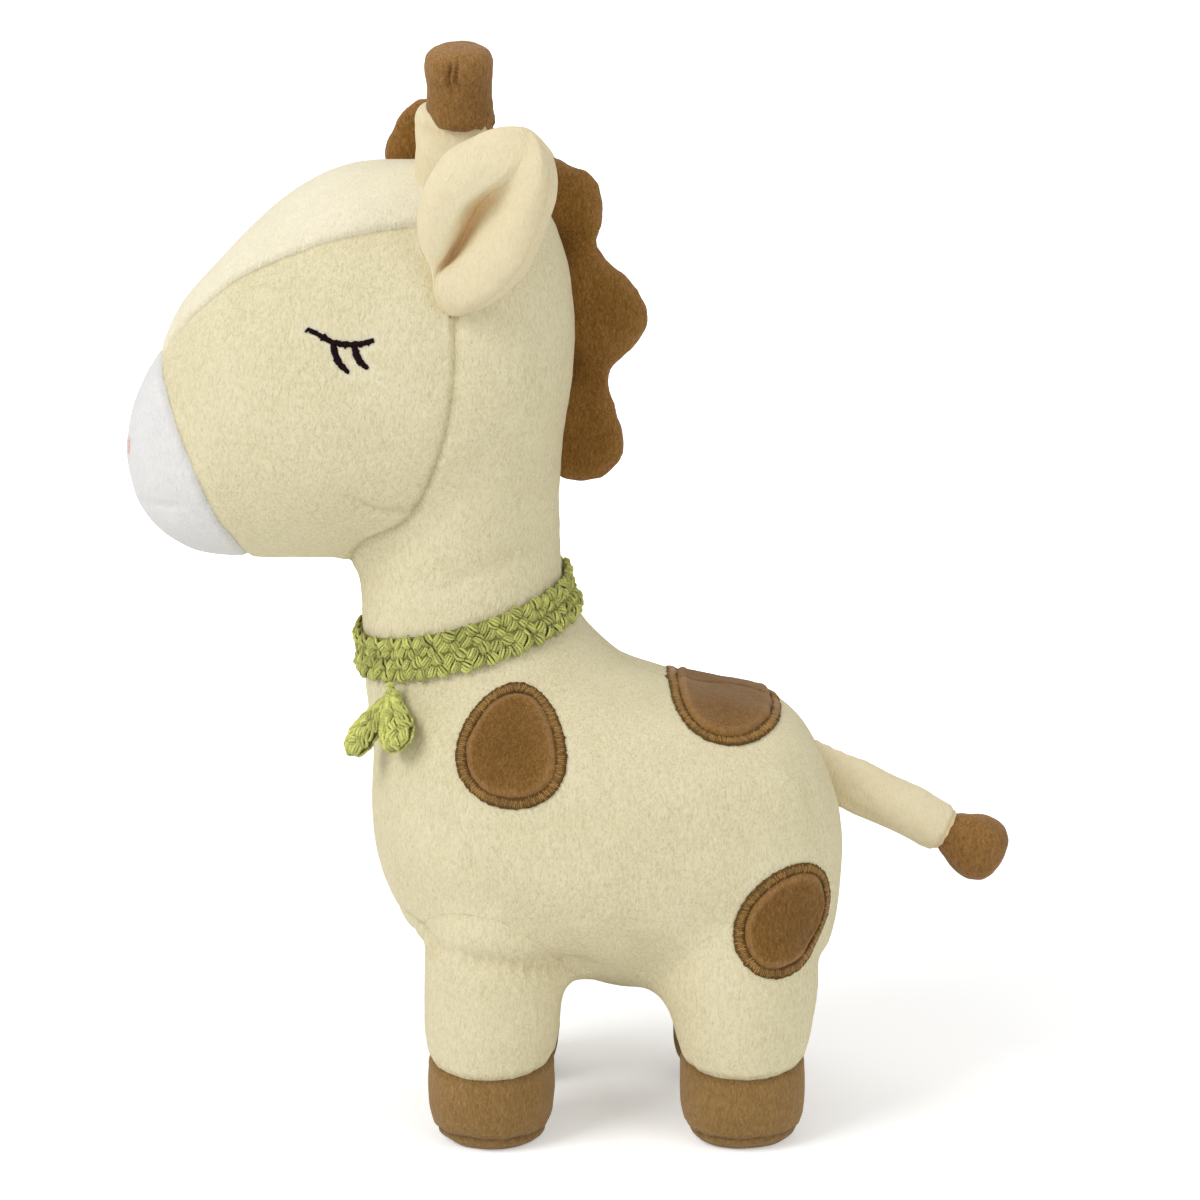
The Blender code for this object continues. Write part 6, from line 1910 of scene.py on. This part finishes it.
def crochet_leaf(label, centre, out, tangent):
    """A leaf that hangs from the knot: a core with three lanes of stitches on each of its faces."""
    spread, length, width = LEAVES[label]
    down = np.array([0, 0, -1]) * math.cos(LEAF_LEAN) + out * math.sin(LEAF_LEAN)
    along = down * math.cos(spread) + tangent * math.sin(spread)
    across = tangent * math.cos(spread) - down * math.sin(spread)
    thick = np.cross(along, across)
    if thick @ out < 0:
        thick = -thick
    start = centre - along * 0.0016 + out * 0.0006
    shares = np.array(LEAF_SHARES)

    def place(share, aside, outward):
        wide = np.interp(share, shares[:, 0], shares[:, 1]) * width / 2
        deep = np.interp(share, shares[:, 0], shares[:, 2]) * LEAF_THICKNESS / 2
        hump = np.sqrt(np.clip(1 - aside * aside * 0.8, 0, 1))
        return (start + (share * length)[..., None] * along + (aside * wide)[..., None] * across
                + (outward * deep * hump)[..., None] * thick)

    turns = 2 * np.pi * np.arange(32) / 32
    rings = []
    for share, wide, deep in curve_through(LEAF_SHARES, 4):
        middle = start + along * share * length
        rings.append(middle + np.outer(np.cos(turns), across) * max(wide, 0) * width * 0.40
                     + np.outer(np.sin(turns), thick) * max(deep, 0) * LEAF_THICKNESS * 0.34)
    # The core is yarn painted darker, as the shade between the stitches.
    finish_piece(loft("leaf_core_shaded_" + label, rings), yarn(0.55), "leaf_" + label)
    pieces = []
    for face in (-1, 1):
        centres = []
        for lane, lean in LEAF_LANES:
            for row in range(LEAF_STITCHES):
                centres.append((lane * width / 2, (0.10 + 0.125 * row + 0.06 * (lane == 0)) * length,
                                0.0003 * (lane == 0), lean * (1 if row % 2 or lane else -1)))

        def surface(u, v, h):
            share, aside = np.clip(v / length, 0.01, 0.99), np.clip(u / (width / 2), -1.05, 1.05)
            outs = np.broadcast_to(face * thick, share.shape + (3,))
            return place(share, aside, face * (0.42 + h / (LEAF_THICKNESS / 2))), outs

        pieces.append(stitch_loops("leaf", surface, centres, 0.0040, 0.0027, 4, -0.0002, 0.0015, 0.00055,
                                   21 + face))
    leaf = join("leaf_yarn_" + label, pieces)
    # The leaf's stitches use the yarn painted lighter, as painted light.
    finish_piece(leaf, yarn(1.12), "leaf_" + label, ["bow_leaf_" + label])


class SKIN_OT_bow(bpy.types.Operator):
    """Tie the knot under the collar and crochet its two leaves"""
    bl_idname = "plush.bow"
    bl_label = "Knot and Leaves"

    def execute(self, context):
        centre = np.array(frame_joint("leaf_swing_front"))
        out = np.array([math.cos(KNOT_ANGLE), math.sin(KNOT_ANGLE), 0])
        tangent = np.array([out[1], -out[0], 0])
        tie_knot(centre, out, tangent)
        for label in LEAVES:
            crochet_leaf(label, centre, out, tangent)
        return {"FINISHED"}


def keep_inside(obj, gap):
    """Pull a piece in where it comes nearer to the skin's outer side than the gap."""
    points = points_of(obj)
    for i, point in enumerate(points):
        place, normal = sewn_tree().find_nearest(Vector(point))[:2]
        if (Vector(point) - place).dot(normal) > -gap:
            points[i] = place - normal * gap
    set_points(obj, points)


# Wadding stays this far inside the plush, and is small in a cover shorter than this
WADDING_GAP, SMALL_WADDING = 0.0007, 0.06


class SKIN_OT_wadding(bpy.types.Operator):
    """Push lumpy wadding into every cover"""
    bl_idname = "plush.wadding"
    bl_label = "Wadding"

    def execute(self, context):
        for name, node in sorted(frame["nodes"].items()):
            if "stuffing" not in name:
                continue
            lump = new_piece("fibre_" + name, points_of(node),
                             [tuple(face.vertices) for face in node.data.polygons])
            bm = bmesh.new()
            bm.from_mesh(lump.data)
            bmesh.ops.remove_doubles(bm, verts=bm.verts, dist=0.00002)
            bm.to_mesh(lump.data)
            bm.free()
            small = max(lump.dimensions) < SMALL_WADDING
            apply_modifier(lump, "REMESH", mode="VOXEL", voxel_size=0.0018 if small else 0.0035)
            relax(lump, 6)
            set_points(lump, points_of(lump) - normals_of(lump) * (0.0008 if small else 0.0016))
            ripple(lump, [(0.014, 0.0007), (0.005, 0.0003)])
            if not name.startswith(("horn", "tail")):
                keep_inside(lump, settings().plush_thickness + WADDING_GAP)
            body = "tail" if name == "tail_stuffing" else "toy"
            finish_piece(lump, fibre(), body, [name])
        return {"FINISHED"}


# Size of the floor, how far back its rear edge is looked for, how high it rises, and the bend's radius
FLOOR_SIZE, FLOOR_EDGE_Y, FLOOR_RISE, FLOOR_BEND = 5.0, 2.4, 2.5, 1.6
# Soft lamps: name, place, size and power
LAMPS = [
    ("key", (-1.05, -0.85, 1.10), 0.9, 14.5), ("fill", (1.05, -0.75, 0.60), 1.2, 4.7),
    ("top", (-0.10, 0.30, 1.40), 1.2, 5.0),
]
# What the lamps and the camera look at, and the camera's tilt, distance, sensor and lens
LAMP_AIM, CAMERA_AIM = (0, 0, 0.14), (0.0078, 0.0, 0.1407)
CAMERA_TILT, CAMERA_DISTANCE, CAMERA_SENSOR, CAMERA_LENS = math.radians(8), 0.75, 36.0, 83.33


def select_edges(floor, chosen):
    """Select the floor's edges whose ends are all chosen."""
    bm = bmesh.from_edit_mesh(floor.data)
    for edge in bm.edges:
        edge.select_set(all(chosen(vert.co) for vert in edge.verts))
    bmesh.update_edit_mesh(floor.data)


def lay_floor():
    """A pale floor that bends up behind the toy and glows where the camera sees it."""
    deselect()
    bpy.ops.mesh.primitive_plane_add(size=FLOOR_SIZE, location=(0, 0, 0))
    floor = bpy.context.object
    floor.name = "floor"
    bpy.ops.object.mode_set(mode="EDIT")
    bpy.ops.mesh.select_all(action="DESELECT")
    select_edges(floor, lambda place: place.y > FLOOR_EDGE_Y)
    bpy.ops.mesh.extrude_region_move(TRANSFORM_OT_translate={"value": (0, 0, FLOOR_RISE)})
    select_edges(floor, lambda place: place.y > FLOOR_EDGE_Y and place.z < 0.1)
    bpy.ops.mesh.bevel(offset=FLOOR_BEND, segments=24, affect="EDGES")
    bpy.ops.object.mode_set(mode="OBJECT")
    floor.data.shade_smooth()
    material, tree, shader = new_material("pale_floor")
    away = add_node(tree, "VectorMath", {0: object_place(tree)}, operation="LENGTH")
    glow = range_node(tree, away.outputs["Value"], 0.28, 0.90, 0.33, 1.0)
    feed(tree, shader, {
        "Base Color": (0.90, 0.90, 0.895, 1.0), "Roughness": 0.95, "Specular IOR Level": 0.1,
        "Emission Color": (1.0, 1.0, 1.0, 1.0),
        "Emission Strength": math_node(tree, "MULTIPLY", seen_directly(tree), glow)})
    floor.data.materials.append(material)


class SKIN_OT_stage(bpy.types.Operator):
    """Set the floor, the soft studio light and the camera"""
    bl_idname = "plush.stage"
    bl_label = "Stage"

    def execute(self, context):
        lay_floor()
        for name, place, size, power in LAMPS:
            deselect()
            bpy.ops.object.light_add(type="AREA", location=place)
            lamp = bpy.context.object
            lamp.name = name
            lamp.data.size = size
            lamp.data.energy = power
            aim = Vector(LAMP_AIM) - Vector(place)
            lamp.rotation_euler = aim.to_track_quat("-Z", "Y").to_euler()
        world = bpy.data.worlds.new("studio")
        bpy.context.scene.world = world
        world.use_nodes = True
        tree = world.node_tree
        feed(tree, tree.nodes["Background"], {
            "Color": (1.0, 1.0, 1.0, 1.0),
            "Strength": range_node(tree, seen_directly(tree), 0.0, 1.0, 0.44, 1.0)})
        aside = Vector((0, -math.cos(CAMERA_TILT), math.sin(CAMERA_TILT)))
        deselect()
        bpy.ops.object.camera_add(location=Vector(CAMERA_AIM) + aside * CAMERA_DISTANCE,
                                  rotation=(math.pi / 2 - CAMERA_TILT, 0, 0))
        camera = bpy.context.object
        camera.data.sensor_width = CAMERA_SENSOR
        camera.data.lens = CAMERA_LENS
        bpy.context.scene.camera = camera
        bpy.context.scene.view_settings.view_transform = "Standard"
        return {"FINISHED"}


class SKIN_PT_toy(bpy.types.Panel):
    """Lists the steps that build the toy"""
    bl_idname = "SKIN_PT_toy"
    bl_label = "Plush Giraffe"
    bl_space_type = "VIEW_3D"
    bl_region_type = "UI"
    bl_category = "Plush"

    def draw(self, context):
        for step in OPERATORS:
            self.layout.operator(step.bl_idname)
        for name in ToySettings.__annotations__:
            self.layout.prop(context.scene.plush_toy, name)


OPERATORS = (SKIN_OT_body, SKIN_OT_horns, SKIN_OT_mane, SKIN_OT_tail, SKIN_OT_ears, SKIN_OT_patches,
             SKIN_OT_face, SKIN_OT_collar, SKIN_OT_bow, SKIN_OT_wadding, SKIN_OT_stage)
CLASSES = (ToySettings, *OPERATORS, SKIN_PT_toy)


def register():
    for kind in CLASSES:
        bpy.utils.register_class(kind)
    bpy.types.Scene.plush_toy = bpy.props.PointerProperty(type=ToySettings)


def unregister():
    del bpy.types.Scene.plush_toy
    for kind in reversed(CLASSES):
        bpy.utils.unregister_class(kind)


def main():
    register()
    bpy.ops.plush.body()
    bpy.ops.plush.horns()
    bpy.ops.plush.mane()
    bpy.ops.plush.tail()
    bpy.ops.plush.ears()
    bpy.ops.plush.patches()
    bpy.ops.plush.face()
    bpy.ops.plush.collar()
    bpy.ops.plush.bow()
    bpy.ops.plush.wadding()
    bpy.ops.plush.stage()


if __name__ == "__main__":
    main()
